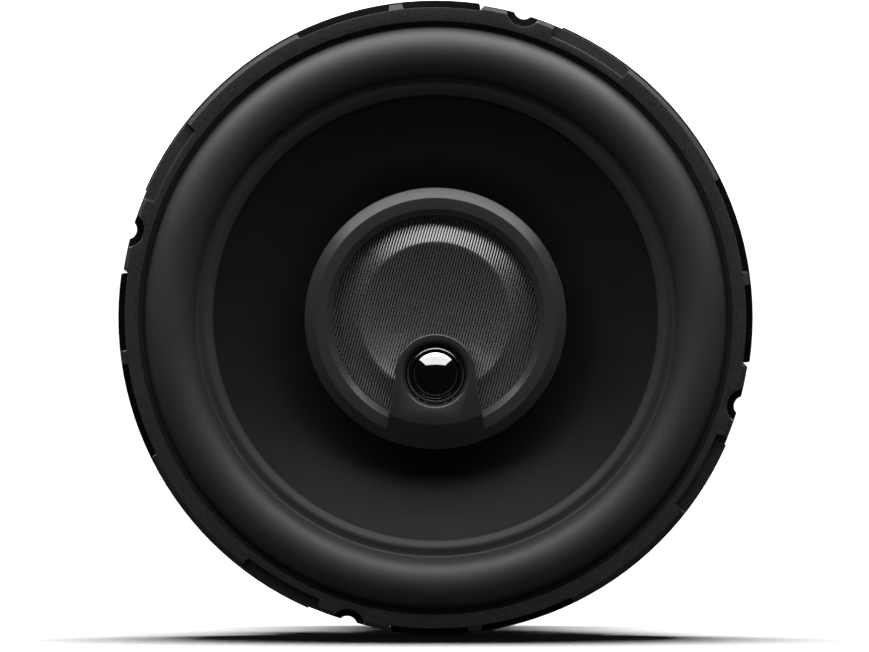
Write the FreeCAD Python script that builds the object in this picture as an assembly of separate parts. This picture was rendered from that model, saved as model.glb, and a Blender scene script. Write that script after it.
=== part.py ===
import FreeCAD, Part
import math
import os

# Three-way coaxial car loudspeaker of the 6.5-inch class, as separate physical pieces, in millimetres.
#
# Every piece is drawn about the loudspeaker's axis with heights measured forward from the mounting
# plane: radius r, height h, and angles counter-clockwise as seen from the front. save() then turns
# the drawing so that the front faces -Y and the drawing's upward direction is +Z. The origin is the
# centre of the mounting plane, which is the rear face of the flange.

V = FreeCAD.Vector
AXIS = V(0, 0, 1)
CENTRE = V(0, 0, 0)
TOUCH = 0.05  # radial slack round pins, rivets and spigots

# Frame: flange, trim ring and basket.
RIM_R = 79.0  # flange outside radius, a 158 mm frame
FLANGE_T = 2.4
SPIGOT_R = 62.8  # drops through a 127 mm panel cut-out
BASKET_WALL = 1.6
SPIGOT_BOTTOM = -6.6
ROLL_RELIEF = 3.2  # chamfer that clears the surround when the cone is fully back
LEDGE_H = -21.6  # ledge that the spider is glued to
LEDGE_IN_R = 39.6
LEDGE_OUT_R = 44.8
FLOOR_TOP = -28.6
FLOOR_T = 2.4
FLOOR_BORE_R = 24.0
QUADRANT = 90.0  # the rim's pattern repeats four times
SPOKES = 6
SPOKE_STEP = 360.0 / SPOKES
FIRST_SPOKE = 30.0
TERMINAL_DEG = 150.0  # the spoke that carries the terminal block
CAPACITOR_DEG = 210.0  # the spoke that carries the crossover capacitors

# Rim pattern, as angles within one quadrant and the radii of its steps.
TAB_DEG = (6.0, 8.5)
LAND_DEG = (26.0, 52.0)
POCKET_DEG = (52.0, 67.7)
STEPPED_DEG = (66.3, 82.0)
SCREW_DEG = 74.0
V_NOTCH_DEG = (80.7, 82.0)
TRIM_T = 3.2
TRIM_IN_R = 73.8
TRIM_OUT_R = 77.4
TAB_R = 78.8
STEPPED_R = 78.6
POCKET_IN_R = 75.7
POCKET_FLOOR_T = 1.2
SCREW_CIRCLE_R = 79.9  # the screws' centres lie just outside the rim
SCREW_NOTCH_R = 2.5
SCREW_SEAT_R = 4.4

# Woofer: cone, surround, spider and voice coil.
SURROUND_T = 0.8
LANDING_R = (72.5, 75.6)
ROLL_R = 66.2
ROLL_OUTER = 6.3
CONE_RIM = (59.0, 1.98)
CONE_RIM_INNER = (54.0, 0.2)
CONE_BELLY = (32.5, -8.45)
CONE_NECK = (13.7, -17.9)
CONE_T = 0.6
SURROUND_LAP_R = 55.3  # the surround's inner lip covers the cone out from here
FORMER_R = 12.95
FORMER_WALL = 0.25
FORMER_SPAN = (-39.2, -17.4)
WINDING_WALL = 0.5
WINDING_SPAN = (-38.5, -28.5)
SPIDER_T = 0.45
SPIDER_WAVES = 6
SPIDER_WAVE_FROM = 15.2
SPIDER_WAVE_TO = 39.2
SPIDER_WAVE_H = 0.9
EYELET_R = 29.0
LEAD_SPREAD = 5.0  # each lead's sideways distance from the terminal spoke's centre line

# Woofer motor.
TOP_PLATE_R = 38.0
PLATE_T = 5.0
GAP_OUT_R = 14.3
MAGNET_R = 40.5
MAGNET_BORE_R = 19.0
MAGNET_T = 13.0
POLE_R = 12.5
POLE_TOP = -30.5
YOKE_BORE_R = 4.2
NUT_POCKET_R = 8.2
NUT_POCKET_DEPTH = 4.5
RIVET_R = 1.6
RIVET_CIRCLE_R = 31.0
RIVETS = 4

# Centre post and pod.
POST_R = 7.0
POST_BORE_R = 2.0
POD_FLOOR = -6.5
POD_WALL = 2.0
POD_R = 32.5
POD_SPLIT_H = 4.4  # the bezel meets the housing here
POD_SHOULDER_H = 7.8
POD_FACE_H = 10.0
POD_FACE_R = (27.4, 30.0)
POD_MOUTH_R = 25.1

# Midrange driver in the pod.
MID_CREST = (18.6, 6.4)
MID_CENTRE_H = 3.7
MID_EDGE = (24.8, 4.3)
MID_SKIN = 0.3
MID_COIL_R = 10.3
MID_YOKE_R = 13.5
MID_YOKE_SPAN = (-3.4, 2.6)

# Tweeter in the bridge that crosses the midrange.
TWEETER_Y = -13.7
BRIDGE_TIP_R = 9.87
BRIDGE_LEAN_DEG = 9.0
BRIDGE_UNDER_H = 7.4
BRIDGE_TOP_R = 26.3
TWEETER_SEAT_R = 7.85
TWEETER_MOUTH_R = 7.08
TWEETER_FLARE_R = 8.37
DOME_R = 6.1
DOME_BASE_H = 11.3
DOME_RISE = 2.3
DOME_SKIN = 0.2

# Terminals, capacitors and leads.
TERMINAL_FACE_R = 56.0
TERMINAL_HALF_WIDTH = 12.0
TERMINAL_SPAN = (-27.5, -13.9)
TERMINAL_DEPTH = 5.0
BLADE_T = 0.8
BLADE_LENGTH = 8.0
LEAD_HOLE_R = 1.0
TINSEL_R = 0.55
POD_LEAD_R = 1.1
CAPACITOR_R = 3.4
MIDRANGE_CAPACITOR_H = -12.6  # where each capacitor rests on the basket's wall
TWEETER_CAPACITOR_H = -17.6
FEED_LEAD_R = 0.9
JUMPER_R = 0.45


# ---------------------------------------------------------------- drawing helpers


def profile(*steps):
    """A closed face in the plane of the axis. A step is (r, h) for a straight edge to there, or
    ((r, h) on the way, (r, h) at the end) for an arc. The last point joins the first."""

    def at(point):
        return V(point[0], 0, point[1])

    here = steps[0]
    edges = []
    for step in steps[1:] + (steps[0],):
        if isinstance(step[0], tuple):
            end = step[1]
            edges.append(Part.Arc(at(here), at(step[0]), at(end)).toShape())
        else:
            end = step
            if at(here).distanceToPoint(at(end)) > 1e-6:
                edges.append(Part.LineSegment(at(here), at(end)).toShape())
        here = end
    return Part.Face(Part.Wire(edges))


def turned(*steps, start=0.0, sweep=360.0):
    """A profile turned about the axis, from start through sweep degrees."""
    solid = profile(*steps).revolve(CENTRE, AXIS, sweep)
    solid.rotate(CENTRE, AXIS, start)
    return solid


def ring(r_in, r_out, low, high, start=0.0, end=360.0):
    """A flat ring, or the sector of one between two angles."""
    return turned((r_in, low), (r_out, low), (r_out, high), (r_in, high), start=start, sweep=end - start)


def drum(radius, low, high, x=0.0, y=0.0):
    """A cylinder parallel to the axis."""
    return Part.makeCylinder(radius, high - low, V(x, y, low))


def around(shape, count, start=0.0):
    """Copies of a shape, drawn at angle 0, spaced evenly round the axis."""
    copies = []
    for i in range(count):
        one = shape.copy()
        one.rotate(CENTRE, AXIS, start + i * 360.0 / count)
        copies.append(one)
    return copies


def placed(shape, degrees):
    """A copy of a shape, drawn at angle 0, turned to its own angle."""
    return around(shape, 1, degrees)[0]


def block(radial, sideways, span):
    """A box in front of angle 0: its radial, sideways and axial limits."""
    size = [b - a for a, b in (radial, sideways, span)]
    return Part.makeBox(*size, V(radial[0], sideways[0], span[0]))


def sphere_height(radius, base_r, rise):
    """Height above its base, at a radius, of a spherical cap with this base radius and rise. A negative
    rise gives a dish, measured from its rim."""
    curve = (base_r**2 + rise**2) / (2 * rise)
    bulge = math.copysign(math.sqrt(curve**2 - radius**2), rise)
    return rise - curve + bulge


def radial_prism(corners, r_from, r_to, corner_radius):
    """A panel outline in (sideways, height), extruded outward along angle 0, with rounded corners."""
    points = [V(r_from, s, h) for s, h in corners]
    face = Part.Face(Part.makePolygon(points + points[:1]))
    solid = face.extrude(V(r_to - r_from, 0, 0))
    along = [e for e in solid.Edges if abs(e.tangentAt(e.FirstParameter).x) > 0.99]
    return solid.makeFillet(corner_radius, along)


def lead(points, radius, label):
    """A round wire through hand-chosen points: straight runs joined by tangent arcs, each as large as
    its two runs allow. Prints the length of the route and its smallest bend."""
    points = [V(*p) for p in points]
    edges = []
    here = points[0]
    bends = []
    for before, corner, after in zip(points, points[1:], points[2:]):
        back, on = (before - corner), (after - corner)
        shorter = min(back.Length, on.Length)
        back.normalize()
        on.normalize()
        half_turn = (math.pi - back.getAngle(on)) / 2
        cut = 0.45 * shorter
        bend = cut / math.tan(half_turn)
        bends.append(bend)
        inward = back + on
        inward.normalize()
        reach = bend / math.cos(half_turn)
        start, end = corner + back * cut, corner + on * cut
        middle = corner + inward * (reach - bend)
        edges.append(Part.LineSegment(here, start).toShape())
        edges.append(Part.Arc(start, middle, end).toShape())
        here = end
    edges.append(Part.LineSegment(here, points[-1]).toShape())
    path = Part.Wire(edges)
    first = points[1] - points[0]
    section = Part.Wire(Part.makeCircle(radius, points[0], first))
    solid = path.makePipeShell([section], True, False)
    expected = math.pi * radius**2 * path.Length
    print(f"{label}: {path.Length:.1f} mm, smallest bend {min(bends):.1f} mm, "
          f"volume {solid.Volume:.1f} of {expected:.1f} mm3")
    return solid


def save(name, *solids):
    """Writes one node. The drawing's axis is turned to face -Y."""
    shape = solids[0] if len(solids) == 1 else Part.makeCompound(list(solids))
    shape = shape.copy()
    shape.rotate(CENTRE, V(1, 0, 0), 90)
    shape.exportStep(f"parts/{name}.step")
    pieces = shape.Solids
    good = all(s.isValid() and s.Volume > 0 for s in pieces)
    print(f"{name}: {len(pieces)} solid(s), {shape.Volume / 1000:.3f} cm3{'' if good else '  INVALID'}")


def quadrants(low, high):
    """The four repeats of an angle range of the rim pattern."""
    return [(low + QUADRANT * k, high + QUADRANT * k) for k in range(4)]


def on_screw_circle(radius, low, high):
    """Four upright cylinders where the mounting screws pass."""
    one = drum(radius, low, high, x=SCREW_CIRCLE_R)
    return around(one, 4, SCREW_DEG)


# ---------------------------------------------------------------- frame


def flange_outline(low, high):
    """Cutters that give the rim its stepped edge, screw notches and small V notches."""
    past = RIM_R + 1.0
    cutters = [ring(STEPPED_R, past, low, high, a, b) for a, b in quadrants(*STEPPED_DEG)]
    for a, b in quadrants(*V_NOTCH_DEG):
        corners = [(past, a - 0.2), (past, b + 0.1), (TRIM_OUT_R, b - 0.3)]
        points = [V(r * math.cos(math.radians(d)), r * math.sin(math.radians(d)), low) for r, d in corners]
        cutters.append(Part.Face(Part.makePolygon(points + points[:1])).extrude(V(0, 0, high - low)))
    return cutters


def basket_cavity():
    """The space inside the basket, from the flange down to the floor."""
    inner = SPIGOT_R - BASKET_WALL
    return turned(
        (0, FLOOR_TOP), (LEDGE_IN_R, FLOOR_TOP), (LEDGE_IN_R, LEDGE_H), (LEDGE_OUT_R, LEDGE_H),
        (inner, SPIGOT_BOTTOM), (inner, -0.6), (inner + ROLL_RELIEF, FLANGE_T),
        (inner + ROLL_RELIEF, FLANGE_T + 1),
        (0, FLANGE_T + 1),
    )


def wall_point(height, stand_off):
    """A point that stands off from the basket's slanted outside wall."""
    run, drop = SPIGOT_R - BASKET_WALL - LEDGE_OUT_R, SPIGOT_BOTTOM - LEDGE_H
    slant = math.hypot(run, drop)
    out_r, out_h = drop / slant, -run / slant
    radius = LEDGE_OUT_R + (height - LEDGE_H) * run / drop
    distance = BASKET_WALL + stand_off
    return radius + out_r * distance, height + out_h * distance


def window():
    """One opening between two spokes, with rounded corners."""
    top, bottom = (20.5, SPIGOT_BOTTOM - 2.0), (15.0, LEDGE_H + 1.4)
    corners = [(-top[0], top[1]), (top[0], top[1]), (bottom[0], bottom[1]), (-bottom[0], bottom[1])]
    return radial_prism(corners, LEDGE_IN_R - 4, SPIGOT_R + 4, 3.0)


def spoke_rib(sideways):
    """A thin stiffening fin along the outside of a spoke, down to the motor seat."""
    thickness = 1.8
    floor_bottom = FLOOR_TOP - FLOOR_T
    corners = [
        wall_point(-8.0, -BASKET_WALL / 2), wall_point(LEDGE_H, -BASKET_WALL / 2),
        (41.0, floor_bottom + 1.5),
        (41.0, floor_bottom), (46.5, floor_bottom), (SPIGOT_R - 0.4, -13.0), (SPIGOT_R - 0.4, -9.0),
    ]
    points = [V(r, sideways - thickness / 2, h) for r, h in corners]
    return Part.Face(Part.makePolygon(points + points[:1])).extrude(V(0, thickness, 0))


def terminal_pad():
    """The raised seat on the terminal spoke."""
    return placed(
        block((46.0, TERMINAL_FACE_R), (-TERMINAL_HALF_WIDTH, TERMINAL_HALF_WIDTH), TERMINAL_SPAN),
        TERMINAL_DEG,
    )


def lead_holes():
    """Two round holes through the terminal spoke for the woofer's leads."""
    holes = []
    for side in (-LEAD_SPREAD, LEAD_SPREAD):
        hole = Part.makeCylinder(LEAD_HOLE_R, 24, V(40, side, -15), V(1, 0, 0))
        holes.append(placed(hole, TERMINAL_DEG))
    return holes


def basket():
    """The moulded frame: flange, spigot, six spokes, spider ledge and motor seat in one piece."""
    run, drop = SPIGOT_R - BASKET_WALL - LEDGE_OUT_R, SPIGOT_BOTTOM - LEDGE_H
    slant = math.hypot(run, drop)
    shift_r, shift_h = BASKET_WALL * drop / slant, -BASKET_WALL * run / slant
    knee = (LEDGE_OUT_R + shift_r, LEDGE_H + shift_h)
    shoulder_h = knee[1] + (SPIGOT_R - knee[0]) * drop / run
    floor_bottom = FLOOR_TOP - FLOOR_T
    body = turned(
        (0, floor_bottom), (41.5, floor_bottom), knee, (SPIGOT_R, shoulder_h), (SPIGOT_R, 0),
        (RIM_R, 0), (RIM_R, FLANGE_T), (0, FLANGE_T),
    )
    ribs = []
    for i in range(SPOKES):
        angle = FIRST_SPOKE + i * SPOKE_STEP
        if angle not in (TERMINAL_DEG, CAPACITOR_DEG):
            ribs += [placed(spoke_rib(s), angle) for s in (-5.5, 5.5)]
    body = body.fuse(ribs + [terminal_pad()])
    cutters = [basket_cavity(), drum(FLOOR_BORE_R, floor_bottom - 1, FLOOR_TOP + 1)]
    cutters += around(window(), SPOKES, FIRST_SPOKE + SPOKE_STEP / 2)
    cutters += around(drum(RIVET_R, floor_bottom - 1, FLOOR_TOP + 1, x=RIVET_CIRCLE_R), RIVETS, 45)
    cutters += lead_holes() + terminal_screws()
    cutters += flange_outline(-1, FLANGE_T + 1)
    cutters += on_screw_circle(SCREW_NOTCH_R, -1, FLANGE_T + 1)
    return body.cut(cutters).removeSplitter()


def trim_ring():
    """The grained ring on the flange. It clamps the surround's landing, and its outer edge is cut away
    in steps, pockets and screw seats."""
    low, high = FLANGE_T, FLANGE_T + TRIM_T
    under = low + SURROUND_T
    rebate_r = LANDING_R[1] + 0.2
    body = turned(
        (TRIM_IN_R, under), (rebate_r, under), (rebate_r, low), (TRIM_OUT_R, low), (TRIM_OUT_R, high),
        (TRIM_IN_R, high),
    )
    body = body.cut([ring(POCKET_IN_R, TRIM_OUT_R + 1, low + POCKET_FLOOR_T, high + 1, a, b)
                     for a, b in quadrants(*POCKET_DEG)])
    lap = 0.3  # the lugs run this far into the ring
    lugs = []
    for a, b in quadrants(*LAND_DEG):
        lugs.append(turned(
            (TRIM_OUT_R - lap, low), (RIM_R, low), (RIM_R, high - 0.9), (RIM_R - 1.1, high),
            (TRIM_OUT_R - lap, high), start=a, sweep=b - a,
        ))
    for a, b in quadrants(*TAB_DEG):
        lugs.append(turned(
            (TRIM_OUT_R - lap, low), (TAB_R, low), (TAB_R, low + 1.6), (TRIM_OUT_R, high),
            (TRIM_OUT_R - lap, high), start=a, sweep=b - a,
        ))
    floor_high = low + POCKET_FLOOR_T
    for a, b in quadrants(*POCKET_DEG):
        lugs.append(ring(POCKET_IN_R + lap, RIM_R, low, floor_high, a, b))
    for a, b in quadrants(POCKET_DEG[1], STEPPED_DEG[1]):
        lugs.append(ring(TRIM_OUT_R - lap, STEPPED_R, low, high, a, b))
    body = body.fuse(lugs)
    cutters = flange_outline(low - 1, high + 1) + on_screw_circle(SCREW_SEAT_R, low - 1, high + 1)
    return body.cut(cutters).removeSplitter()


# ---------------------------------------------------------------- woofer


def cone_top(radius):
    """Height of the cone's front surface on its straight rim."""
    (r1, h1), (r0, h0) = CONE_RIM, CONE_RIM_INNER
    return h0 + (radius - r0) * (h1 - h0) / (r1 - r0)


def surround():
    """The rubber half roll between the cone and the flange, glued to both."""
    low = FLANGE_T
    high = low + SURROUND_T
    inner_r = ROLL_OUTER - SURROUND_T
    lap = SURROUND_LAP_R
    lip = 0.7
    return turned(
        (LANDING_R[1], low), (LANDING_R[1], high), (ROLL_R + ROLL_OUTER, high),
        ((ROLL_R, high + ROLL_OUTER), (ROLL_R - ROLL_OUTER, high)),
        (58.3, cone_top(58.3) + lip), (lap, cone_top(lap) + lip), (lap, cone_top(lap)),
        CONE_RIM, (ROLL_R - inner_r, low + 0.1),
        ((ROLL_R, high + inner_r), (ROLL_R + inner_r, low + 0.1)), (ROLL_R + inner_r, low),
    )


def cone():
    """The woofer's cone, with a short collar that is glued round the voice-coil former."""
    collar = FORMER_R + FORMER_WALL

    def below(point):
        return point[0], point[1] - CONE_T

    return turned(
        CONE_RIM, CONE_RIM_INNER, (CONE_BELLY, CONE_NECK), (collar, CONE_NECK[1] + 0.3),
        (collar, CONE_NECK[1] - 1.4), (CONE_NECK[0], CONE_NECK[1] - 1.4), below(CONE_NECK),
        (below(CONE_BELLY), below(CONE_RIM_INNER)), below(CONE_RIM),
    )


def woofer_former():
    return ring(FORMER_R, FORMER_R + FORMER_WALL, *FORMER_SPAN)


def woofer_winding():
    inner = FORMER_R + FORMER_WALL
    return ring(inner, inner + WINDING_WALL, *WINDING_SPAN)


def spider():
    """The corrugated cloth disc that centres the voice coil."""
    inner, outer = FORMER_R + FORMER_WALL, LEDGE_OUT_R - 0.8
    pitch = (SPIDER_WAVE_TO - SPIDER_WAVE_FROM) / SPIDER_WAVES

    def waves(base, outward):
        """Half waves as arcs, alternately above and below the base height."""
        steps = []
        for i in range(2 * SPIDER_WAVES):
            n = i if outward else 2 * SPIDER_WAVES - 1 - i
            lift = SPIDER_WAVE_H if n % 2 == 0 else -SPIDER_WAVE_H
            middle = SPIDER_WAVE_FROM + (n + 0.5) * pitch / 2
            end = SPIDER_WAVE_FROM + (n + (1 if outward else 0)) * pitch / 2
            steps.append(((middle, base + lift), (end, base)))
        return steps

    low, high = LEDGE_H, LEDGE_H + SPIDER_T
    return turned(
        (inner, low), (SPIDER_WAVE_FROM, low), *waves(low, True), (outer, low), (outer, high),
        (SPIDER_WAVE_TO, high), *waves(high, False), (inner, high),
    )


def eyelets():
    """Two solder eyelets on the back of the cone, where the leads end."""
    back = cone_back(EYELET_R)
    pair = []
    for side in (-LEAD_SPREAD, LEAD_SPREAD):
        tag = placed(drum(1.3, back - 1.6, back + 0.3, x=EYELET_R, y=side), TERMINAL_DEG).cut(cone())
        pair.append(max(tag.Solids, key=lambda s: s.Volume))
    return pair


def cone_back(radius):
    """Height of the cone's rear surface at a radius on its curved part."""
    column = Part.LineSegment(V(radius, 0, CONE_NECK[1] - 5), V(radius, 0, CONE_RIM[1] + 5)).toShape()
    return column.common(cone()).BoundBox.ZMin


def tinsel(side):
    """One flexible braided lead, from the terminal block to its eyelet on the cone."""
    back = cone_back(EYELET_R)
    points = [
        (TERMINAL_FACE_R, side, -15.0), (50.5, side, -15.0), (45.5, side * 1.02, -14.1),
        (40.6, side * 1.06, -14.6), (36.0, side * 1.04, -16.2), (EYELET_R + 0.8, side, back - 1.2),
    ]
    wire = placed(lead(points, TINSEL_R, "tinsel lead"), TERMINAL_DEG)
    return wire.cut(eyelets())


# ---------------------------------------------------------------- woofer motor


def motor_heights():
    """Heights of the top plate, the magnet and the back plate, from front to back."""
    front = FLOOR_TOP - FLOOR_T
    plate = front - PLATE_T
    magnet = plate - MAGNET_T
    return front, plate, magnet, magnet - PLATE_T


def top_plate():
    front, back, _, _ = motor_heights()
    plate = turned(
        (GAP_OUT_R, back), (TOP_PLATE_R - 0.6, back), (TOP_PLATE_R, back + 0.6), (TOP_PLATE_R, front - 0.6),
        (TOP_PLATE_R - 0.6, front), (GAP_OUT_R, front),
    )
    sockets = around(drum(RIVET_R, back + 1.2, front + 1, x=RIVET_CIRCLE_R), RIVETS, 45)
    return plate.cut(sockets)


def magnet():
    _, front, back, _ = motor_heights()
    soft = 1.0
    return turned(
        (MAGNET_BORE_R, back), (MAGNET_R - soft, back), (MAGNET_R, back + soft), (MAGNET_R, front - soft),
        (MAGNET_R - soft, front), (MAGNET_BORE_R, front),
    )


def yoke():
    """Back plate and pole piece, forged in one, bored for the post and pocketed for its nut."""
    _, _, front, back = motor_heights()
    pocket_h = back + NUT_POCKET_DEPTH
    return turned(
        (YOKE_BORE_R, pocket_h), (NUT_POCKET_R, pocket_h), (NUT_POCKET_R, back + 0.5),
        (NUT_POCKET_R + 0.5, back), (TOP_PLATE_R - 2.0, back), (TOP_PLATE_R, back + 2.0),
        (TOP_PLATE_R, front - 0.5), (TOP_PLATE_R - 0.5, front), (POLE_R + 2.5, front),
        ((POLE_R + 0.75, front + 0.75), (POLE_R, front + 2.5)), (POLE_R, POLE_TOP - 0.6),
        (POLE_R - 0.6, POLE_TOP), (YOKE_BORE_R, POLE_TOP),
    )


def rivets():
    """Rivets that hold the basket's floor to the top plate."""
    front, back, _, _ = motor_heights()
    bottom = back + 1.3
    shank = RIVET_R - TOUCH
    head_r, brim, rise = 3.0, FLOOR_TOP + 0.5, 1.0
    rivet = turned(
        (0, bottom), (shank, bottom), (shank, FLOOR_TOP), (head_r, FLOOR_TOP), (head_r, brim),
        ((head_r / 2, brim + sphere_height(head_r / 2, head_r, rise)), (0, brim + rise)),
    )
    rivet.translate(V(RIVET_CIRCLE_R, 0, 0))
    return around(rivet, RIVETS, 45)


def post():
    """The tube that stands on the pole piece and carries the pod. Leads pass through its bore."""
    _, _, _, back = motor_heights()
    stem = YOKE_BORE_R - TOUCH
    top = POD_FLOOR + POD_WALL + 1.1
    return turned(
        (POST_BORE_R, back + 0.6), (stem - 0.4, back + 0.6), (stem, back + 1.0), (stem, POLE_TOP),
        (POST_R, POLE_TOP), (POST_R, POLE_TOP + 3), (POST_R - 1.4, POLE_TOP + 5),
        (POST_R - 1.4, POD_FLOOR - 2.4), (POST_R, POD_FLOOR - 1), (POST_R, POD_FLOOR), (4.5, POD_FLOOR),
        (4.5, top), (POST_BORE_R, top),
    )


def post_nut():
    """Hexagon nut in the pocket of the back plate."""
    _, _, _, back = motor_heights()
    high = back + NUT_POCKET_DEPTH
    across_corners = 7.5
    corners = [math.radians(60 * number) for number in range(7)]
    points = [V(across_corners * math.cos(a), across_corners * math.sin(a), back + 0.8) for a in corners]
    nut = Part.Face(Part.makePolygon(points)).extrude(V(0, 0, high - back - 0.8))
    bevel = turned((0, back + 0.8), (6.6, back + 0.8), (7.6, back + 1.5), (7.6, high), (0, high))
    return nut.common(bevel).cut(drum(YOKE_BORE_R, back, high + 1))


def post_retainer():
    """Push-on washer that locks the pod on the post."""
    floor = POD_FLOOR + POD_WALL
    return ring(4.5 + TOUCH, 7.5, floor, floor + 0.9)


# ---------------------------------------------------------------- pod


def pod_housing():
    """The cup behind the bezel that holds the midrange driver."""
    floor = POD_FLOOR + POD_WALL
    outer = POD_R - 0.2
    seat_h = 1.0
    return turned(
        (4.5 + TOUCH, POD_FLOOR), (15.0, POD_FLOOR), (29.2, -0.6), ((31.4, 0.9), (outer, 3.2)),
        (outer, POD_SPLIT_H), (29.7, POD_SPLIT_H), (29.7, seat_h), (27.5, seat_h), (14.6, floor),
        (4.5 + TOUCH, floor),
    )


def pod_bezel():
    """The bevelled ring round the midrange's mouth, with a small step on each side of its rim."""
    face_in, face_out = POD_FACE_R
    fall = face_in - POD_MOUTH_R
    body = turned(
        (POD_MOUTH_R, POD_SPLIT_H), (POD_R, POD_SPLIT_H), (POD_R, POD_SHOULDER_H), (face_out, POD_FACE_H),
        (face_in, POD_FACE_H),
        ((face_in - fall * math.cos(math.pi / 4), POD_FACE_H - fall + fall * math.sin(math.pi / 4)),
         (POD_MOUTH_R, POD_FACE_H - fall)),
    )
    steps = [ring(POD_R - 0.4, POD_R + 1, POD_SPLIT_H - 1, POD_FACE_H, a, a + 4.5) for a in (184.5, 351.0)]
    return body.cut(steps)


def bridge_outline():
    """The bridge seen from the front: a round tip about the tweeter and two sides that lean outward
    down to the bezel's rim."""
    lean = math.radians(BRIDGE_LEAN_DEG)
    tangent = (BRIDGE_TIP_R * math.cos(lean), TWEETER_Y + BRIDGE_TIP_R * math.sin(lean))
    foot_y = -POD_R - 4
    foot_x = tangent[0] + (tangent[1] - foot_y) * math.tan(lean)
    right, left = V(*tangent), V(-tangent[0], tangent[1])
    edges = [
        Part.Arc(right, V(0, TWEETER_Y + BRIDGE_TIP_R), left).toShape(),
        Part.LineSegment(left, V(-foot_x, foot_y)).toShape(),
        Part.LineSegment(V(-foot_x, foot_y), V(foot_x, foot_y)).toShape(),
        Part.LineSegment(V(foot_x, foot_y), right).toShape(),
    ]
    return Part.Face(Part.Wire(edges))


def bridge_top():
    """Height of the bridge's face, where the bezel's bevel carries on up to BRIDGE_TOP_R."""
    slope = (POD_FACE_H - POD_SHOULDER_H) / (POD_R - POD_FACE_R[1])
    return POD_FACE_H + (POD_FACE_R[1] - BRIDGE_TOP_R) * slope


def tweeter_turned(*steps):
    """A profile turned about the tweeter's own axis."""
    solid = turned(*steps)
    solid.translate(V(0, TWEETER_Y, 0))
    return solid


def bridge():
    """The tongue that reaches in from the bezel and holds the tweeter over the midrange."""
    top = bridge_top()
    slab = bridge_outline()
    slab.translate(V(0, 0, BRIDGE_UNDER_H))
    slab = slab.extrude(V(0, 0, top - BRIDGE_UNDER_H))
    dress = turned((0, 0), (POD_R, 0), (POD_R, POD_SHOULDER_H), (BRIDGE_TOP_R, top), (0, top))
    mouth = tweeter_turned(
        (0, BRIDGE_UNDER_H - 1), (TWEETER_SEAT_R, BRIDGE_UNDER_H - 1), (TWEETER_SEAT_R, DOME_BASE_H + 0.1),
        (TWEETER_MOUTH_R, DOME_BASE_H + 0.1), (TWEETER_MOUTH_R, DOME_BASE_H + 0.7),
        (TWEETER_FLARE_R - 0.25, top - 0.3), (TWEETER_FLARE_R, top), (0, top),
    )
    return slab.common(dress).cut([pod_bezel(), mouth, ring(POD_R - 0.4, POD_R + 1, 0, POD_FACE_H)])


# ---------------------------------------------------------------- midrange


def dish_height(radius):
    """Height of the dish's front surface, a shallow sphere from its centre to its crest."""
    crest_r, crest_h = MID_CREST
    return crest_h + sphere_height(radius, crest_r, MID_CENTRE_H - crest_h)


def midrange_diaphragm():
    """The shallow dish of the midrange."""
    crest_r, crest_h = MID_CREST
    half = crest_r / 2
    return turned(
        (crest_r, crest_h), ((half, dish_height(half)), (0, MID_CENTRE_H)), (0, MID_CENTRE_H - MID_SKIN),
        ((half, dish_height(half) - MID_SKIN), (crest_r, crest_h - MID_SKIN)),
    )


def midrange_edge():
    """The convex band that joins the dish to its frame, with a flat rim that is clamped."""
    (r0, h0), (r1, h1) = MID_CREST, MID_EDGE
    on_way = ((r0 + r1) / 2 + 0.1, (h0 + h1) / 2 + 0.1)
    return turned(
        (r0, h0), (on_way, (r1, h1)), (27.0, h1), (27.0, h1 - MID_SKIN), (r1, h1 - MID_SKIN),
        ((on_way[0], on_way[1] - MID_SKIN), (r0, h0 - MID_SKIN)),
    )


def midrange_frame():
    """The small basket between the midrange's edge and its magnet cup."""
    top = MID_EDGE[1] - MID_SKIN
    return turned(
        (29.5, top), (24.9, top), (24.0, top - 1.0), (MID_YOKE_R + 1.6, -0.2), (MID_YOKE_R, -0.2),
        (MID_YOKE_R, -2.0), (MID_YOKE_R + 1.6, -2.0), (25.0, 1.0), (29.5, 1.0),
    )


def midrange_former():
    return ring(MID_COIL_R, MID_COIL_R + 0.2, -0.6, dish_height(MID_COIL_R) - MID_SKIN)


def midrange_winding():
    return ring(MID_COIL_R + 0.2, MID_COIL_R + 0.5, -0.4, 2.2)


def midrange_yoke():
    low, high = MID_YOKE_SPAN
    inner = MID_COIL_R + 0.9
    return turned((0, low), (MID_YOKE_R, low), (MID_YOKE_R, high), (inner, high), (inner, low + 1.4),
                  (0, low + 1.4))


def midrange_magnet():
    low = MID_YOKE_SPAN[0] + 1.4
    return drum(MID_COIL_R - 0.8, low, low + 2.3)


def midrange_pole():
    low = MID_YOKE_SPAN[0] + 3.7
    return drum(MID_COIL_R - 0.4, low, low + 1.8)


# ---------------------------------------------------------------- tweeter


def tweeter_dome():
    """The dome, as a thin spherical cap."""
    base, rise, skin = DOME_BASE_H, DOME_RISE, DOME_SKIN
    inner, half = DOME_R - skin, DOME_R / 2
    outer_mid = base + sphere_height(half, DOME_R, rise)
    inner_mid = base + sphere_height(half, inner, rise - skin)
    return tweeter_turned(
        (0, base + rise), ((half, outer_mid), (DOME_R, base)), (inner, base),
        ((half, inner_mid), (0, base + rise - skin)),
    )


def tweeter_edge():
    """The small half roll round the dome, with its clamped rim."""
    base = DOME_BASE_H
    middle = (DOME_R + TWEETER_MOUTH_R) / 2
    rim_low = base - 0.2
    return tweeter_turned(
        (DOME_R, base), ((middle, base + 0.45), (TWEETER_MOUTH_R - 0.05, base)),
        (TWEETER_SEAT_R - 0.1, base),
        (TWEETER_SEAT_R - 0.1, rim_low), (TWEETER_MOUTH_R - 0.05, rim_low),
        ((middle, base + 0.25), (DOME_R, rim_low)),
    )


def tweeter_former():
    return tweeter_turned(*rectangle(DOME_R - DOME_SKIN, DOME_R, 8.8, DOME_BASE_H))


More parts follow.
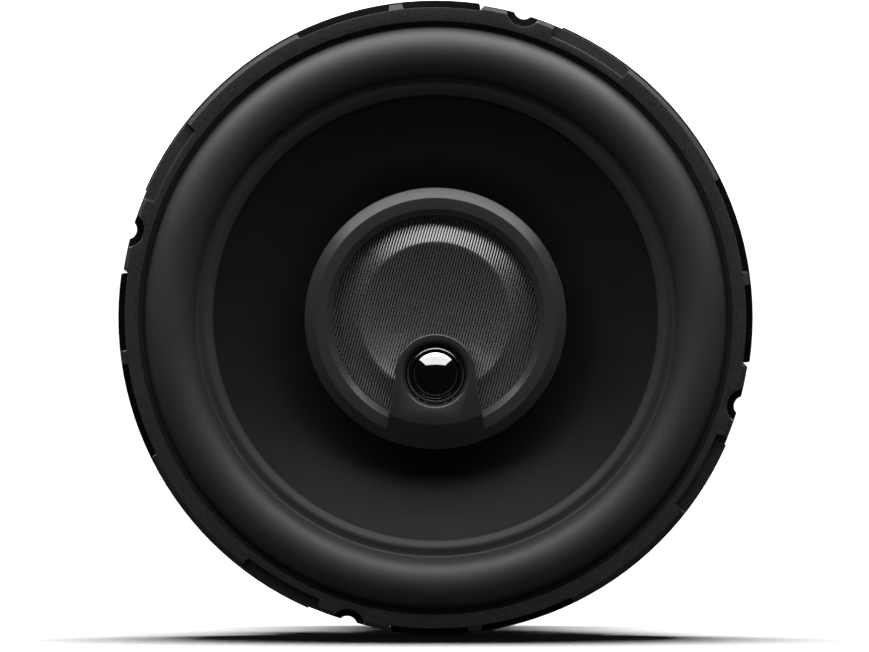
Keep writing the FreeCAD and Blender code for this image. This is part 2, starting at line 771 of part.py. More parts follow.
def tweeter_winding():
    return tweeter_turned(*rectangle(DOME_R, DOME_R + 0.25, 8.9, 10.3))


def rectangle(r_in, r_out, low, high):
    return (r_in, low), (r_out, low), (r_out, high), (r_in, high)


def tweeter_yoke():
    low, floor, high = BRIDGE_UNDER_H + 0.1, BRIDGE_UNDER_H + 0.9, DOME_BASE_H - 0.2
    outer, inner = TWEETER_SEAT_R - 0.1, DOME_R + 0.6
    return tweeter_turned((0, low), (outer, low), (outer, high), (inner, high), (inner, floor), (0, floor))


def tweeter_magnet():
    floor = BRIDGE_UNDER_H + 0.9
    return tweeter_turned(*rectangle(0, DOME_R - 0.9, floor, floor + 1.2))


def tweeter_pole():
    floor = BRIDGE_UNDER_H + 2.1
    return tweeter_turned(*rectangle(0, DOME_R - 0.5, floor, floor + 0.9))


# ---------------------------------------------------------------- terminals, capacitors and leads


def blade(sideways, width):
    """One push-on blade, with the usual small hole near its tip."""
    middle = TERMINAL_FACE_R + TERMINAL_DEPTH / 2
    low, high = TERMINAL_SPAN[0] - BLADE_LENGTH, TERMINAL_SPAN[0] + 6
    body = block((middle - BLADE_T / 2, middle + BLADE_T / 2), (sideways - width / 2, sideways + width / 2),
                 (low, high))
    tips = [e for e in body.Edges if e.BoundBox.ZMax < low + 0.01 and e.BoundBox.YLength < 0.01]
    body = body.makeChamfer(0.9, tips)
    hole = Part.makeCylinder(0.7, 4, V(middle - 2, sideways, low + 2.6), V(1, 0, 0))
    return placed(body.cut(hole), TERMINAL_DEG)


def positive_blade():
    return blade(-6.0, 4.75)


def negative_blade():
    return blade(6.0, 2.8)


def terminal_block():
    """The moulded block that holds both blades, with a rounded outside."""
    body = block(
        (TERMINAL_FACE_R, TERMINAL_FACE_R + TERMINAL_DEPTH), (-TERMINAL_HALF_WIDTH, TERMINAL_HALF_WIDTH),
        TERMINAL_SPAN,
    )
    outer = [e for e in body.Edges if e.BoundBox.XMin > TERMINAL_FACE_R + TERMINAL_DEPTH - 0.01]
    body = placed(body.makeFillet(1.2, outer), TERMINAL_DEG)
    return body.cut([positive_blade(), negative_blade()] + terminal_screws())


def terminal_screws():
    """One self-tapping screw between the blades, into the basket's pad."""
    face = TERMINAL_FACE_R + TERMINAL_DEPTH
    shank = Part.makeCylinder(1.1, 7.5, V(face - 7.5, 0, -18.5), V(1, 0, 0))
    head = Part.makeCylinder(2.3, 1.4, V(face - 1.4, 0, -18.5), V(1, 0, 0))
    return [placed(shank.fuse(head).removeSplitter(), TERMINAL_DEG)]


def capacitor(height, length):
    """A wound capacitor, lying across its spoke with a crimped groove near one end."""
    r, h = wall_point(height, CAPACITOR_R + 0.4)
    half = length / 2
    can = turned(
        (0, -half), (CAPACITOR_R - 0.3, -half), (CAPACITOR_R, -half + 0.3), (CAPACITOR_R, half - 2.2),
        (CAPACITOR_R - 0.35, half - 1.8), (CAPACITOR_R, half - 1.4), (CAPACITOR_R, half - 0.3),
        (CAPACITOR_R - 0.3, half), (0, half),
    )
    can.rotate(CENTRE, V(1, 0, 0), 90)
    can.translate(V(r, 0, h))
    return placed(can, CAPACITOR_DEG)


def midrange_capacitor():
    return capacitor(MIDRANGE_CAPACITOR_H, 15.0)


def tweeter_capacitor():
    return capacitor(TWEETER_CAPACITOR_H, 13.0)


def capacitor_adhesive():
    """The strip of hot-melt glue between the capacitors and their spoke."""
    inner_r, inner_h = wall_point(-11.2, 0.0)
    base_r, base_h = wall_point(-18.6, 0.0)
    top_r, top_h = wall_point(-11.2, 2.2)
    low_r, low_h = wall_point(-18.6, 2.2)
    corners = [(inner_r, inner_h), (base_r, base_h), (low_r, low_h), (top_r, top_h)]
    points = [V(r, -5.0, h) for r, h in corners]
    strip = Part.Face(Part.makePolygon(points + points[:1])).extrude(V(0, 10.0, 0))
    strip = placed(strip, CAPACITOR_DEG).cut([basket(), midrange_capacitor(), tweeter_capacitor()])
    return max(strip.Solids, key=lambda s: s.Volume)


def beside(degrees, outward, sideways, height):
    """A point given relative to the line that leaves the axis at an angle."""
    turn = math.radians(degrees)
    along, across = math.cos(turn), math.sin(turn)
    return outward * along - sideways * across, outward * across + sideways * along, height


def capacitor_feed():
    """The insulated lead from the terminal block, round the foot of the basket, to a capacitor."""
    end_r, end_h = wall_point(MIDRANGE_CAPACITOR_H, CAPACITOR_R + 0.4)
    points = [
        beside(TERMINAL_DEG, 58.5, 9.8, TERMINAL_SPAN[0]), beside(TERMINAL_DEG, 58.5, 9.8, -31.5),
        beside(168, 47.5, 0, -29.6), beside(177, 44.9, 0, -27.6), beside(186, 45.2, 0, -27.3),
        beside(193, 49.5, 0, -22.0), beside(CAPACITOR_DEG, end_r, -13.5, end_h),
        beside(CAPACITOR_DEG, end_r, -7.5, end_h),
    ]
    return lead(points, FEED_LEAD_R, "capacitor feed")


def capacitor_jumper():
    """The bare wire that joins the capacitors at their other ends."""
    top_r, top_h = wall_point(MIDRANGE_CAPACITOR_H, CAPACITOR_R + 0.4)
    low_r, low_h = wall_point(TWEETER_CAPACITOR_H, CAPACITOR_R + 0.4)
    points = [
        beside(CAPACITOR_DEG, top_r, 7.5, top_h), beside(CAPACITOR_DEG, top_r, 10.6, top_h),
        beside(CAPACITOR_DEG, low_r, 10.6, low_h), beside(CAPACITOR_DEG, low_r, 6.5, low_h),
    ]
    return lead(points, JUMPER_R, "capacitor jumper")


def pod_lead():
    """The two-core lead from the terminal block, down beside the magnet, across the back plate and up
    through the post's bore to the pod."""
    _, _, _, back = motor_heights()
    across = back - POD_LEAD_R - TOUCH
    points = [
        beside(152.5, 58.5, 0, TERMINAL_SPAN[0]), beside(152.5, 58.5, 0, -33.0),
        beside(150.5, 51.0, 0, -41.0),
        beside(149.0, 46.5, 0, -47.0), beside(148.0, 43.5, 0, -54.0), beside(148.5, 34.0, 0, across),
        beside(150.0, 17.0, 0, across), beside(150.0, 6.0, 0, across - 0.6), (0.0, 0.0, back + 2.0),
        (0.15, 0.0, -44.0), (0.0, 0.15, -33.0), (0.1, -0.1, -20.0), (0.0, 0.0, POD_FLOOR + 1.5),
    ]
    return lead(points, POD_LEAD_R, "pod lead")


def main():
    os.makedirs("parts", exist_ok=True)
    save("basket", basket())
    save("trim_ring", trim_ring())
    save("woofer_surround", surround())
    save("woofer_cone", cone())
    save("woofer_former", woofer_former())
    save("woofer_winding", woofer_winding())
    save("woofer_spider", spider())
    save("lead_eyelets", *eyelets())
    save("tinsel_lead_positive", tinsel(-LEAD_SPREAD))
    save("tinsel_lead_negative", tinsel(LEAD_SPREAD))
    save("top_plate", top_plate())
    save("magnet", magnet())
    save("yoke", yoke())
    save("basket_rivets", *rivets())
    save("centre_post", post())
    save("post_nut", post_nut())
    save("post_retainer", post_retainer())
    save("pod_housing", pod_housing())
    save("pod_bezel", pod_bezel())
    save("tweeter_bridge", bridge())
    save("midrange_diaphragm", midrange_diaphragm())
    save("midrange_edge", midrange_edge())
    save("midrange_frame", midrange_frame())
    save("midrange_former", midrange_former())
    save("midrange_winding", midrange_winding())
    save("midrange_yoke", midrange_yoke())
    save("midrange_magnet", midrange_magnet())
    save("midrange_pole", midrange_pole())
    save("tweeter_dome", tweeter_dome())
    save("tweeter_edge", tweeter_edge())
    save("tweeter_former", tweeter_former())
    save("tweeter_winding", tweeter_winding())
    save("tweeter_yoke", tweeter_yoke())
    save("tweeter_magnet", tweeter_magnet())
    save("tweeter_pole", tweeter_pole())
    save("terminal_block", terminal_block())
    save("terminal_screw", *terminal_screws())
    save("terminal_blade_positive", positive_blade())
    save("terminal_blade_negative", negative_blade())
    save("midrange_capacitor", midrange_capacitor())
    save("tweeter_capacitor", tweeter_capacitor())
    save("capacitor_adhesive", capacitor_adhesive())
    save("capacitor_feed", capacitor_feed())
    save("capacitor_jumper", capacitor_jumper())
    save("pod_lead", pod_lead())


main()
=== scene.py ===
# %% [markdown]
# # A coaxial car loudspeaker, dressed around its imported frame
#
# The CAD frame holds every part at its real size and place. This lesson keeps the CAD parts whose
# shape is already right and gives them a finish. It remakes the parts whose look depends on fine
# shape: the rubber roll, the ribbed midrange, the trim ring's worn edges, the woven spider and the
# leads. Everything is in metres. The loudspeaker faces -Y, and +Z is up.

# %% Load the frame
import math

import bmesh
import bpy
import numpy as np
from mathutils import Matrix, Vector


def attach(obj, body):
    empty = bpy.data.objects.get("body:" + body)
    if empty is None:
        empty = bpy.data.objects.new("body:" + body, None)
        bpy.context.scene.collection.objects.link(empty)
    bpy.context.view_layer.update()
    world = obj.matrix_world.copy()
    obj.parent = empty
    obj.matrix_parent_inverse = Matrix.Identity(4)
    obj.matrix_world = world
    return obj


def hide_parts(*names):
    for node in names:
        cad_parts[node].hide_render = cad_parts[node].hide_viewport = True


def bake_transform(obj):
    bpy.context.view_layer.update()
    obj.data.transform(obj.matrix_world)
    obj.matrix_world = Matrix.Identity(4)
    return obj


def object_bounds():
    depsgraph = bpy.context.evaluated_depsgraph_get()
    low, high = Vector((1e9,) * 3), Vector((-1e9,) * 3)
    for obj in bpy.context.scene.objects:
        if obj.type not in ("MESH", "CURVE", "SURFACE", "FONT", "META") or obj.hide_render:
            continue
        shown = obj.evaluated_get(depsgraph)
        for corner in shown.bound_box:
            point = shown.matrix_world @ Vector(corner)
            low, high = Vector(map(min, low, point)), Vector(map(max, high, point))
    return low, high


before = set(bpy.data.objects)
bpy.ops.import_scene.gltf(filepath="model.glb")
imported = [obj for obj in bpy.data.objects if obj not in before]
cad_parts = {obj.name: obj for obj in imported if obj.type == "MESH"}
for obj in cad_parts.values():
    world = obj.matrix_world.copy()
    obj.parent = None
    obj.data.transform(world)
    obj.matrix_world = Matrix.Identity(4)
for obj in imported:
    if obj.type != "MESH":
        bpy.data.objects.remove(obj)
cad_low, cad_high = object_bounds()
MM = 0.001
RIM_R = cad_high.x
print("rim radius", round(RIM_R / MM, 2), "mm,", len(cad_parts), "nodes")

# %% [markdown]
# ## The camera
#
# A product picture of a flat, round thing is usually taken with a long lens from far away, so that
# the rim stays a circle. Here the camera stands three metres off and a little above the axis. It aims
# just below the centre, because the loudspeaker stands on its rim and needs some floor under it.

# %% Camera
VIEW_WIDTH = 0.21655
CAMERA_DISTANCE = 3.0
CAMERA_RISE = math.radians(1.5)
AIM = (-0.00025, 0.0, -0.0021)

camera_data = bpy.data.cameras.new("camera")
camera_data.sensor_width = 36.0
camera_data.lens = camera_data.sensor_width * CAMERA_DISTANCE / VIEW_WIDTH
camera_data.clip_start = 0.1
camera_data.clip_end = 30.0
camera = bpy.data.objects.new("camera", camera_data)
bpy.context.scene.collection.objects.link(camera)
camera.location = (
    AIM[0],
    AIM[1] - CAMERA_DISTANCE * math.cos(CAMERA_RISE),
    AIM[2] + CAMERA_DISTANCE * math.sin(CAMERA_RISE),
)
camera.rotation_euler = (math.pi / 2 - CAMERA_RISE, 0.0, 0.0)
bpy.context.scene.camera = camera
print("lens", round(camera_data.lens), "mm")

# %% [markdown]
# ## Shader maths as Python
#
# A node tree is hard to read as a list of links. This small class wraps one socket, so that a sum
# in Python adds the Math nodes that do it. Tree.add makes any other node from its type, its settings
# and what goes into its sockets.

# %% Sockets that can be added and multiplied


class Value:
    """A socket, or a number on its way into one."""

    def __init__(self, tree, socket):
        self.tree = tree
        self.socket = socket

    def math(self, operation, *others):
        return self.tree.add("ShaderNodeMath", {"operation": operation}, dict(enumerate(others)))

    def __add__(self, other):
        return self.math("ADD", self, other)

    def __sub__(self, other):
        return self.math("SUBTRACT", self, other)

    def __rsub__(self, other):
        return self.math("SUBTRACT", other, self)

    def __mul__(self, other):
        return self.math("MULTIPLY", self, other)

    def __truediv__(self, other):
        return self.math("DIVIDE", self, other)

    def __pow__(self, other):
        return self.math("POWER", self, other)

    __radd__ = __add__
    __rmul__ = __mul__

    def sine(self):
        return self.math("SINE", self)

    def size(self):
        return self.math("ABSOLUTE", self)

    def root(self):
        return self.math("SQRT", self.math("MAXIMUM", self, 0.0))

    def over(self, limit):
        return self.math("GREATER_THAN", self, limit)

    def ramp(self, low, high):
        """0 below low, 1 above high, straight between."""
        limits = {"From Min": low, "From Max": high, "Value": self}
        return self.tree.add("ShaderNodeMapRange", {"clamp": True}, limits)


class Tree:
    """A node tree that builds itself from calls."""

    def __init__(self, tree):
        self.tree = tree

    def add(self, kind, settings=None, sockets=None, out=0):
        node = self.tree.nodes.new(kind)
        for name, setting in (settings or {}).items():
            setattr(node, name, setting)
        for key, value in (sockets or {}).items():
            if isinstance(value, Value):
                self.tree.links.new(value.socket, node.inputs[key])
            else:
                node.inputs[key].default_value = value
        return Value(self, node.outputs[out]) if len(node.outputs) else node

    def split(self, vector):
        """The three parts of a vector."""
        node = self.tree.nodes.new("ShaderNodeSeparateXYZ")
        self.tree.links.new(vector.socket, node.inputs[0])
        return [Value(self, output) for output in node.outputs]

    def join(self, x, y, z):
        return self.add("ShaderNodeCombineXYZ", None, {0: x, 1: y, 2: z})


print("Value and Tree are ready")

# %% [markdown]
# ## What most finishes share
#
# A moulded or pressed surface is never one even colour. Most finishes here mix a slow mottle, which
# is millimetres or centimetres wide, with a grain of well under a millimetre. Both are read from the
# part's own coordinates. A finish says how each of them moves its colour, roughness and height.

# %% Finish builder


class Finish(Tree):
    """A material with one Principled shader, built up by name."""

    def __init__(self, name, roughness=0.5, metallic=0.0, **fixed):
        self.material = bpy.data.materials.new(name)
        self.material.use_nodes = True
        super().__init__(self.material.node_tree)
        self.shader = self.tree.nodes["Principled BSDF"]
        self.shader.inputs["Roughness"].default_value = roughness
        self.shader.inputs["Metallic"].default_value = metallic
        for socket, value in fixed.items():
            self.shader.inputs[socket.replace("_", " ")].default_value = value
        self.place = self.add("ShaderNodeTexCoord", None, None, "Object")

    def noise(self, size, detail=2.0, rough=0.5, place=None):
        """Soft random values of about this size in metres, from 0 to 1."""
        sockets = {"Vector": place or self.place, "Scale": 1.0 / size, "Detail": detail, "Roughness": rough}
        return self.add("ShaderNodeTexNoise", {"noise_dimensions": "3D"}, sockets, "Fac")

    def cells(self, size, place=None):
        """Distance to the nearest of many scattered points, for grain and speckle."""
        sockets = {"Vector": place or self.place, "Scale": 1.0 / size}
        return self.add("ShaderNodeTexVoronoi", {"feature": "F1"}, sockets, "Distance")

    def feed(self, socket, value):
        self.tree.links.new(value.socket, self.shader.inputs[socket])

    def colour(self, dark, light, share):
        """Runs between two colours as share goes from 0 to 1."""
        settings = {"data_type": "RGBA", "clamp_factor": True}
        sockets = {0: share, 6: (*dark, 1.0), 7: (*light, 1.0)}
        mixed = self.add("ShaderNodeMix", settings, sockets, 2)
        self.feed("Base Color", mixed)
        return mixed

    def height(self, value, depth, strength=1.0):
        """Raises the surface by value times depth, in metres."""
        sockets = {"Height": value, "Distance": depth, "Strength": strength}
        self.feed("Normal", self.add("ShaderNodeBump", None, sockets, "Normal"))

    def axial(self):
        """Radius from the loudspeaker's axis, and the position along it."""
        x, y, z = self.split(self.place)
        return (x * x + z * z).root(), y


def grey(level):
    return (level, level, level * 1.03)


print("finishes read Object coordinates, so their patterns stay put on a moving part")

# %% [markdown]
# ## Black mouldings
#
# The basket, the trim ring and the pod come from three moulds. The basket is smooth and almost
# black. The trim ring has a spark-eroded grain, which scatters light and looks greyer. The pod is
# satin, with a grain so fine that it only shows as a soft sheen.

# %% Moulded plastics


def moulded_black():
    f = Finish("moulded_black", roughness=0.34, Specular_IOR_Level=0.18)
    mottle, grain = f.noise(0.02, 3.0), f.noise(0.0005, 2.0)
    f.colour(grey(0.002), grey(0.004), mottle)
    f.feed("Roughness", 0.28 + 0.12 * f.noise(0.006, 3.0))
    f.height(grain + 0.6 * mottle, 0.00002, 0.5)
    return f.material


def grained_trim():
    f = Finish("grained_trim", roughness=0.6, Specular_IOR_Level=0.35)
    fine = f.noise(0.0003, 1.0, 0.6)
    pits = f.cells(0.0003)
    speckle = (fine + 0.35 * pits).ramp(0.46, 0.80)
    f.colour(grey(0.005), grey(0.030), speckle)
    f.feed("Roughness", 0.5 + 0.2 * f.noise(0.004, 2.0))
    f.height(fine + 0.5 * pits, 0.00006, 0.6)
    return f.material


def satin_pod():
    f = Finish("satin_pod", roughness=0.33)
    grain, mottle = f.noise(0.00025, 2.0), f.noise(0.012, 3.0)
    f.colour(grey(0.030), grey(0.038), mottle)
    f.feed("Roughness", 0.27 + 0.1 * f.noise(0.003, 2.0))
    f.height(grain, 0.000025, 0.5)
    return f.material


def throat_painted_shade():
    """The tweeter's throat is painted shade: near black, so that it doesn't show in the dome."""
    f = Finish("throat_painted_shade", roughness=0.8, Specular_IOR_Level=0.03)
    dust = f.noise(0.0004, 3.0)
    f.colour(grey(0.001), grey(0.004), dust)
    f.feed("Roughness", 0.75 + 0.15 * dust)
    f.height(dust, 0.00003, 0.4)
    return f.material


def dull_flare_painted_shade():
    """The flare in front of the dome keeps its eroded mould finish, so it barely shines. Its colour is
    painted shade, darker than the pod round it.
    """
    f = Finish("dull_flare_painted_shade", roughness=0.7, Specular_IOR_Level=0.12)
    grain = f.noise(0.0003, 3.0)
    f.colour(grey(0.016), grey(0.022), grain)
    f.feed("Roughness", 0.65 + 0.15 * grain)
    f.height(grain, 0.00002, 0.4)
    return f.material


BLACK, TRIM, POD = moulded_black(), grained_trim(), satin_pod()
THROAT_SHADE, FLARE_SHADE = throat_painted_shade(), dull_flare_painted_shade()
print("made", BLACK.name, TRIM.name, POD.name, THROAT_SHADE.name, FLARE_SHADE.name)

# %% [markdown]
# ## Cone and rubber
#
# The cone is a pressed polymer sheet with a satin face. Its press leaves very faint rings. The
# surround is butyl rubber, a little greyer than the cone and duller, with a bloom that gathers
# slowly over its surface.

# %% Cone and surround finishes


def satin_cone():
    f = Finish("satin_cone", roughness=0.42, Specular_IOR_Level=0.35)
    radius, _ = f.axial()
    rings = f.noise(0.0016, 2.0, 0.5, f.join(radius, 0.0, 0.0))
    mottle = f.noise(0.008, 3.0)
    f.colour(grey(0.008), grey(0.012), mottle)
    f.feed("Roughness", 0.36 + 0.07 * mottle)
    f.height(rings + 0.3 * f.noise(0.0005, 2.0), 0.00002, 0.4)
    return f.material


def butyl_rubber():
    f = Finish("butyl_rubber", roughness=0.5)
    bloom, pores = f.noise(0.015, 4.0), f.noise(0.00035, 2.0)
    f.colour(grey(0.026), grey(0.036), bloom)
    f.feed("Roughness", 0.46 + 0.1 * bloom)
    f.height(pores + 0.5 * f.noise(0.003, 2.0), 0.00003, 0.5)
    return f.material


CONE, RUBBER = satin_cone(), butyl_rubber()
print("made", CONE.name, RUBBER.name)

# %% [markdown]
# ## Bodies of revolution
#
# Most parts of a loudspeaker are turned about its axis. lathe spins an outline of (radius, ahead)
# points in millimetres, where ahead counts towards the listener. eased rounds the outline's corners
# first, because a real edge is never perfectly sharp and its small round catches the light.

# %% Lathe


def unit(vector):
    return vector / max(np.linalg.norm(vector), 1e-12)


def eased(*corners, softness=0.2, steps=3):
    """An outline with its corners rounded. A corner is (radius, ahead) or (radius, ahead, softness)."""
    points = [np.array(c[:2], float) for c in corners]
    result = []
    for i, corner in enumerate(corners):
        here, before, after = points[i], points[i - 1], points[(i + 1) % len(points)]
        own = corner[2] if len(corner) > 2 else softness
        if own == 0:
            result.append(here)
            continue
        reach = min(own, 0.45 * np.linalg.norm(before - here), 0.45 * np.linalg.norm(after - here))
        start, end = here + unit(before - here) * reach, here + unit(after - here) * reach
        for t in np.linspace(0.0, 1.0, steps + 1):
            result.append((1 - t) ** 2 * start + 2 * t * (1 - t) * here + t * t * end)
    return np.array(result)


def arc(centre, radius, start, end, steps):
    """Points on a circle in the outline's plane, between two angles in degrees."""
    turn = np.radians(np.linspace(start, end, steps + 1))
    return [(centre[0] + radius * math.cos(a), centre[1] + radius * math.sin(a), 0.0) for a in turn]


def make_mesh(name, points, faces, material, sharp=38.0):
    """A closed mesh object with merged points, outward faces and smooth shading."""
    mesh = bpy.data.meshes.new(name)
    mesh.from_pydata([tuple(p) for p in points], [], [tuple(f) for f in faces])
    work = bmesh.new()
    work.from_mesh(mesh)
    bmesh.ops.remove_doubles(work, verts=work.verts, dist=2e-7)
    bmesh.ops.dissolve_degenerate(work, edges=work.edges, dist=1e-8)
    bmesh.ops.recalc_face_normals(work, faces=work.faces)
    work.to_mesh(mesh)
    work.free()
    mesh.polygons.foreach_set("use_smooth", [True] * len(mesh.polygons))
    mesh.set_sharp_from_angle(angle=math.radians(sharp))
    mesh.materials.append(material)
    piece = bpy.data.objects.new(name, mesh)
    bpy.context.scene.collection.objects.link(piece)
    print(name, len(mesh.polygons), "faces")
    return piece


def sweep(name, rings, material, sharp=38.0):
    """Skins an array of (section, point, xyz) rings that closes both ways."""
    count, size, _ = rings.shape
    index = np.arange(count * size).reshape(count, size)
    ahead, across = np.roll(index, -1, axis=0), np.roll(index, -1, axis=1)
    both = np.roll(ahead, -1, axis=1)
    faces = np.stack([index, ahead, both, across], axis=-1).reshape(-1, 4)
    return make_mesh(name, rings.reshape(-1, 3), faces, material, sharp)


def about_axis(radius, turn, ahead, centre_z=0.0):
    """Cylinder coordinates in millimetres to the frame's metres."""
    x, z = radius * np.cos(turn), radius * np.sin(turn) + centre_z
    return np.stack([x, -ahead + 0 * x, z], axis=-1) * MM


def lathe(name, outline, material, steps=288, centre_z=0.0, sharp=38.0):
    outline = np.array([p[:2] for p in outline], float)
    turn = np.linspace(0.0, 2 * math.pi, steps, endpoint=False)[:, None]
    rings = about_axis(outline[:, 0][None, :], turn, outline[:, 1][None, :], centre_z)
    return sweep(name, rings, material, sharp)


def finish_part(piece, body, slot, *nodes):
    """Hands a finished piece to the frame: its body and the CAD nodes it stands for, which are hidden. slot
    is not used.
    """
    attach(piece, body)
    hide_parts(*nodes)
    return piece


print("lathe, sweep and eased are ready")

# %% [markdown]
# ## The moving roll
#
# The surround joins the cone to the flange.

# %% Radial shares


def bend_radially(piece, r_still, r_moving, centre_z=0.0):
    """Bakes the piece's transform and works out each point's share of the motion by its radius, none at
    r_still and all of it at r_moving, but moves nothing.
    """
    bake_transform(piece)
    points = np.array([v.co for v in piece.data.vertices])
    radius = np.hypot(points[:, 0], points[:, 2] - centre_z * MM) / MM
    share = np.clip((radius - r_still) / (r_moving - r_still), 0, 1)
    share = share * share * (3 - 2 * share)


ROLL_R, ROLL_OUT, RUBBER_T = 66.2, 6.3, 0.8
LANDING_TOP = 3.2
CONE_EDGE = (59.0, 1.98)


def surround():
    crest = (ROLL_R, LANDING_TOP)
    inner = ROLL_OUT - RUBBER_T
    corners = [
        (75.6, 2.42), (75.6, LANDING_TOP, 0.25), (73.0, LANDING_TOP, 0.3),
        *arc(crest, ROLL_OUT, 6, 174, 44),
        (59.75, 2.65, 0.45), (58.7, 2.62, 0.5), (57.35, 2.85, 0.7), (55.75, 1.95, 0.35), (55.35, 1.5, 0.2),
        (55.3, 0.72, 0.05),
        (CONE_EDGE[0], CONE_EDGE[1], 0.05), (60.3, 2.3, 0.3),
        *arc(crest, inner, 171, 9, 36), (71.9, 2.42, 0.2),
    ]
    piece = lathe("rubber_surround", eased(*corners), RUBBER, steps=360, sharp=50)
    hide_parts("woofer_surround")
    bend_radially(piece, 72.2, 60.2)
    return piece


surround()

# %% [markdown]
# ## The cone
#
# The cone's straight rim carries the surround's lip. Inside it the wall curves in to a collar that is
# glued round the voice-coil former.

# %% Cone


def circle_through(start, middle, end, steps):
    """Points on the arc that passes through three points."""
    (ax, ay), (bx, by), (cx, cy) = start, middle, end
    d = 2 * (ax * (by - cy) + bx * (cy - ay) + cx * (ay - by))
    a2, b2, c2 = ax * ax + ay * ay, bx * bx + by * by, cx * cx + cy * cy
    centre = (
        (a2 * (by - cy) + b2 * (cy - ay) + c2 * (ay - by)) / d,
        (a2 * (cx - bx) + b2 * (ax - cx) + c2 * (bx - ax)) / d,
    )
    radius = math.hypot(ax - centre[0], ay - centre[1])
    first = math.degrees(math.atan2(ay - centre[1], ax - centre[0]))
    last = math.degrees(math.atan2(cy - centre[1], cx - centre[0]))
    last -= 360 * round((last - first) / 360)
    return arc(centre, radius, first, last, steps)


def cone():
    wall = 0.6
    neck, belly, shoulder = (13.75, -17.9), (32.5, -8.45), (54.0, 0.2)
    front = circle_through(shoulder, belly, neck, 48)
    back = [(r, h - wall, 0.0) for r, h, _ in reversed(front)]
    collar_in = 13.2
    corners = [
        CONE_EDGE, *front, (collar_in, -17.6, 0.1), (collar_in, -19.3, 0.05), (13.75, -19.3, 0.1), *back,
        (CONE_EDGE[0], CONE_EDGE[1] - wall, 0.1),
    ]
    piece = lathe("pressed_cone", eased(*corners, softness=0.08), CONE, steps=360, sharp=50)
    return finish_part(piece, "woofer_moving", "cone_poly", "woofer_cone")


cone()

# %% [markdown]
# ## The trim ring
#
# The ring clamps the surround's landing. Its outer edge changes every few degrees: low steps, a tab,
# a full land, a long pocket, a screw seat and a tiny V notch, four times round. Each of these is
# only a change in a few numbers of the ring's section, so the ring is skinned through sections whose
# numbers change smoothly across each border. That also gives the borders the small radii that a
# mould leaves.

# %% Trim ring

FLANGE_T, TRIM_TOP = 2.4, 5.6
BORDER = 0.28  # degrees over which one stretch turns into the next
QUARTER_START, QUARTER_END, ANGLE_STEP = -8.0, 82.0, 0.35
TRIM_IN_R, RELIEF_R, RELIEF_H = 73.8, 75.85, 3.25
STEP_R, LAND_R, TAB_R, SEAT_R, POCKET_R = 77.25, 78.6, 78.7, 78.5, 75.7

# Each stretch: its first angle, then the radius of the top's edge, of the slope's foot and of the
# outer side, and the foot's height.
STRETCHES = [
    (QUARTER_START, STEP_R, STEP_R, STEP_R, 4.6),
    (6.0, STEP_R, TAB_R - 0.1, TAB_R, 4.1),
    (8.5, STEP_R, STEP_R, STEP_R, 4.6),
    (26.0, 77.55, LAND_R - 0.1, LAND_R, 4.6),
    (52.0, POCKET_R, POCKET_R + 0.15, LAND_R, 3.6),
    (67.7, 77.6, SEAT_R - 0.1, SEAT_R, 4.7),
    (81.3, STEP_R, STEP_R, STEP_R, 4.6),
]
SCREW_ANGLE, SCREW_CENTRE_R, SCREW_SEAT_R = 74.0, 79.9, 4.4


def notch_edge(offset, centre_r, radius):
    """Where a round notch cuts the rim, at an angle from the notch's own centre line."""
    side = centre_r * math.sin(offset)
    if abs(side) >= radius:
        return None
    return centre_r * math.cos(offset) - math.sqrt(radius**2 - side**2)


def stretch_at(degrees):
    """Top, foot and outer radius and foot height, at an angle within one quarter of the ring."""
    values = np.array(STRETCHES[0][1:], float)
    for start, *after in STRETCHES[1:]:
        t = np.clip((degrees - start) / BORDER + 0.5, 0, 1)
        values = values + (np.array(after) - values) * (t * t * (3 - 2 * t))
    top, foot, out, height = values
    cut = notch_edge(math.radians(degrees - SCREW_ANGLE), SCREW_CENTRE_R, SCREW_SEAT_R)
    if cut is not None:
        top, foot, out = min(top, cut), min(foot, cut), min(out, cut)
    return top, foot, out, height


def trim_section(degrees):
    top, foot, out, height = stretch_at(degrees)
    height += (TRIM_TOP - 0.3 - height) * (1 - min(1, (out - top) / 0.3))
    return eased(
        (RELIEF_R, FLANGE_T, 0.0), (RELIEF_R, RELIEF_H, 0.0),
        (TRIM_IN_R, RELIEF_H, 0.15), (TRIM_IN_R, TRIM_TOP, 0.3),
        (top, TRIM_TOP, 0.2), (foot, height, 0.12), (out, height, 0.22), (out, FLANGE_T, 0.0),
    )


def trim_angles():
    """Every third of a degree, closer at each border and round the screw seat."""
    angles = list(np.arange(QUARTER_START, QUARTER_END, ANGLE_STEP))
    for start, *_ in STRETCHES:
        angles += [start + BORDER * k for k in (-0.6, -0.4, -0.2, 0.0, 0.2, 0.4, 0.6)]
    edge = math.degrees(math.asin(SCREW_SEAT_R / SCREW_CENTRE_R))
    angles += [SCREW_ANGLE + edge * math.sin(math.radians(k)) for k in range(-90, 91, 6)]
    inside = sorted(a for a in angles if QUARTER_START <= a < QUARTER_END)
    return [a for a, b in zip(inside, inside[1:] + [QUARTER_END]) if b - a > 0.004]


def trim_ring():
    rings = []
    for quarter in range(4):
        for degrees in trim_angles():
            section = trim_section(degrees)
            turn = math.radians(degrees + 90.0 * quarter)
            rings.append(about_axis(section[:, 0], turn, section[:, 1]))
    piece = sweep("grained_ring", np.array(rings), TRIM, sharp=32)
    return finish_part(piece, "frame", "trim_plastic", "trim_ring")


trim_ring()

# %% [markdown]
# ## The pod's face
#
# The bezel is turned, so it is another outline. The bridge that carries the tweeter is not, but its
# CAD shape is right and only its edges are too sharp. soften copies such a node, joins its loose
# triangles into whole faces and rounds the edges between them.

# %% Soften a CAD node


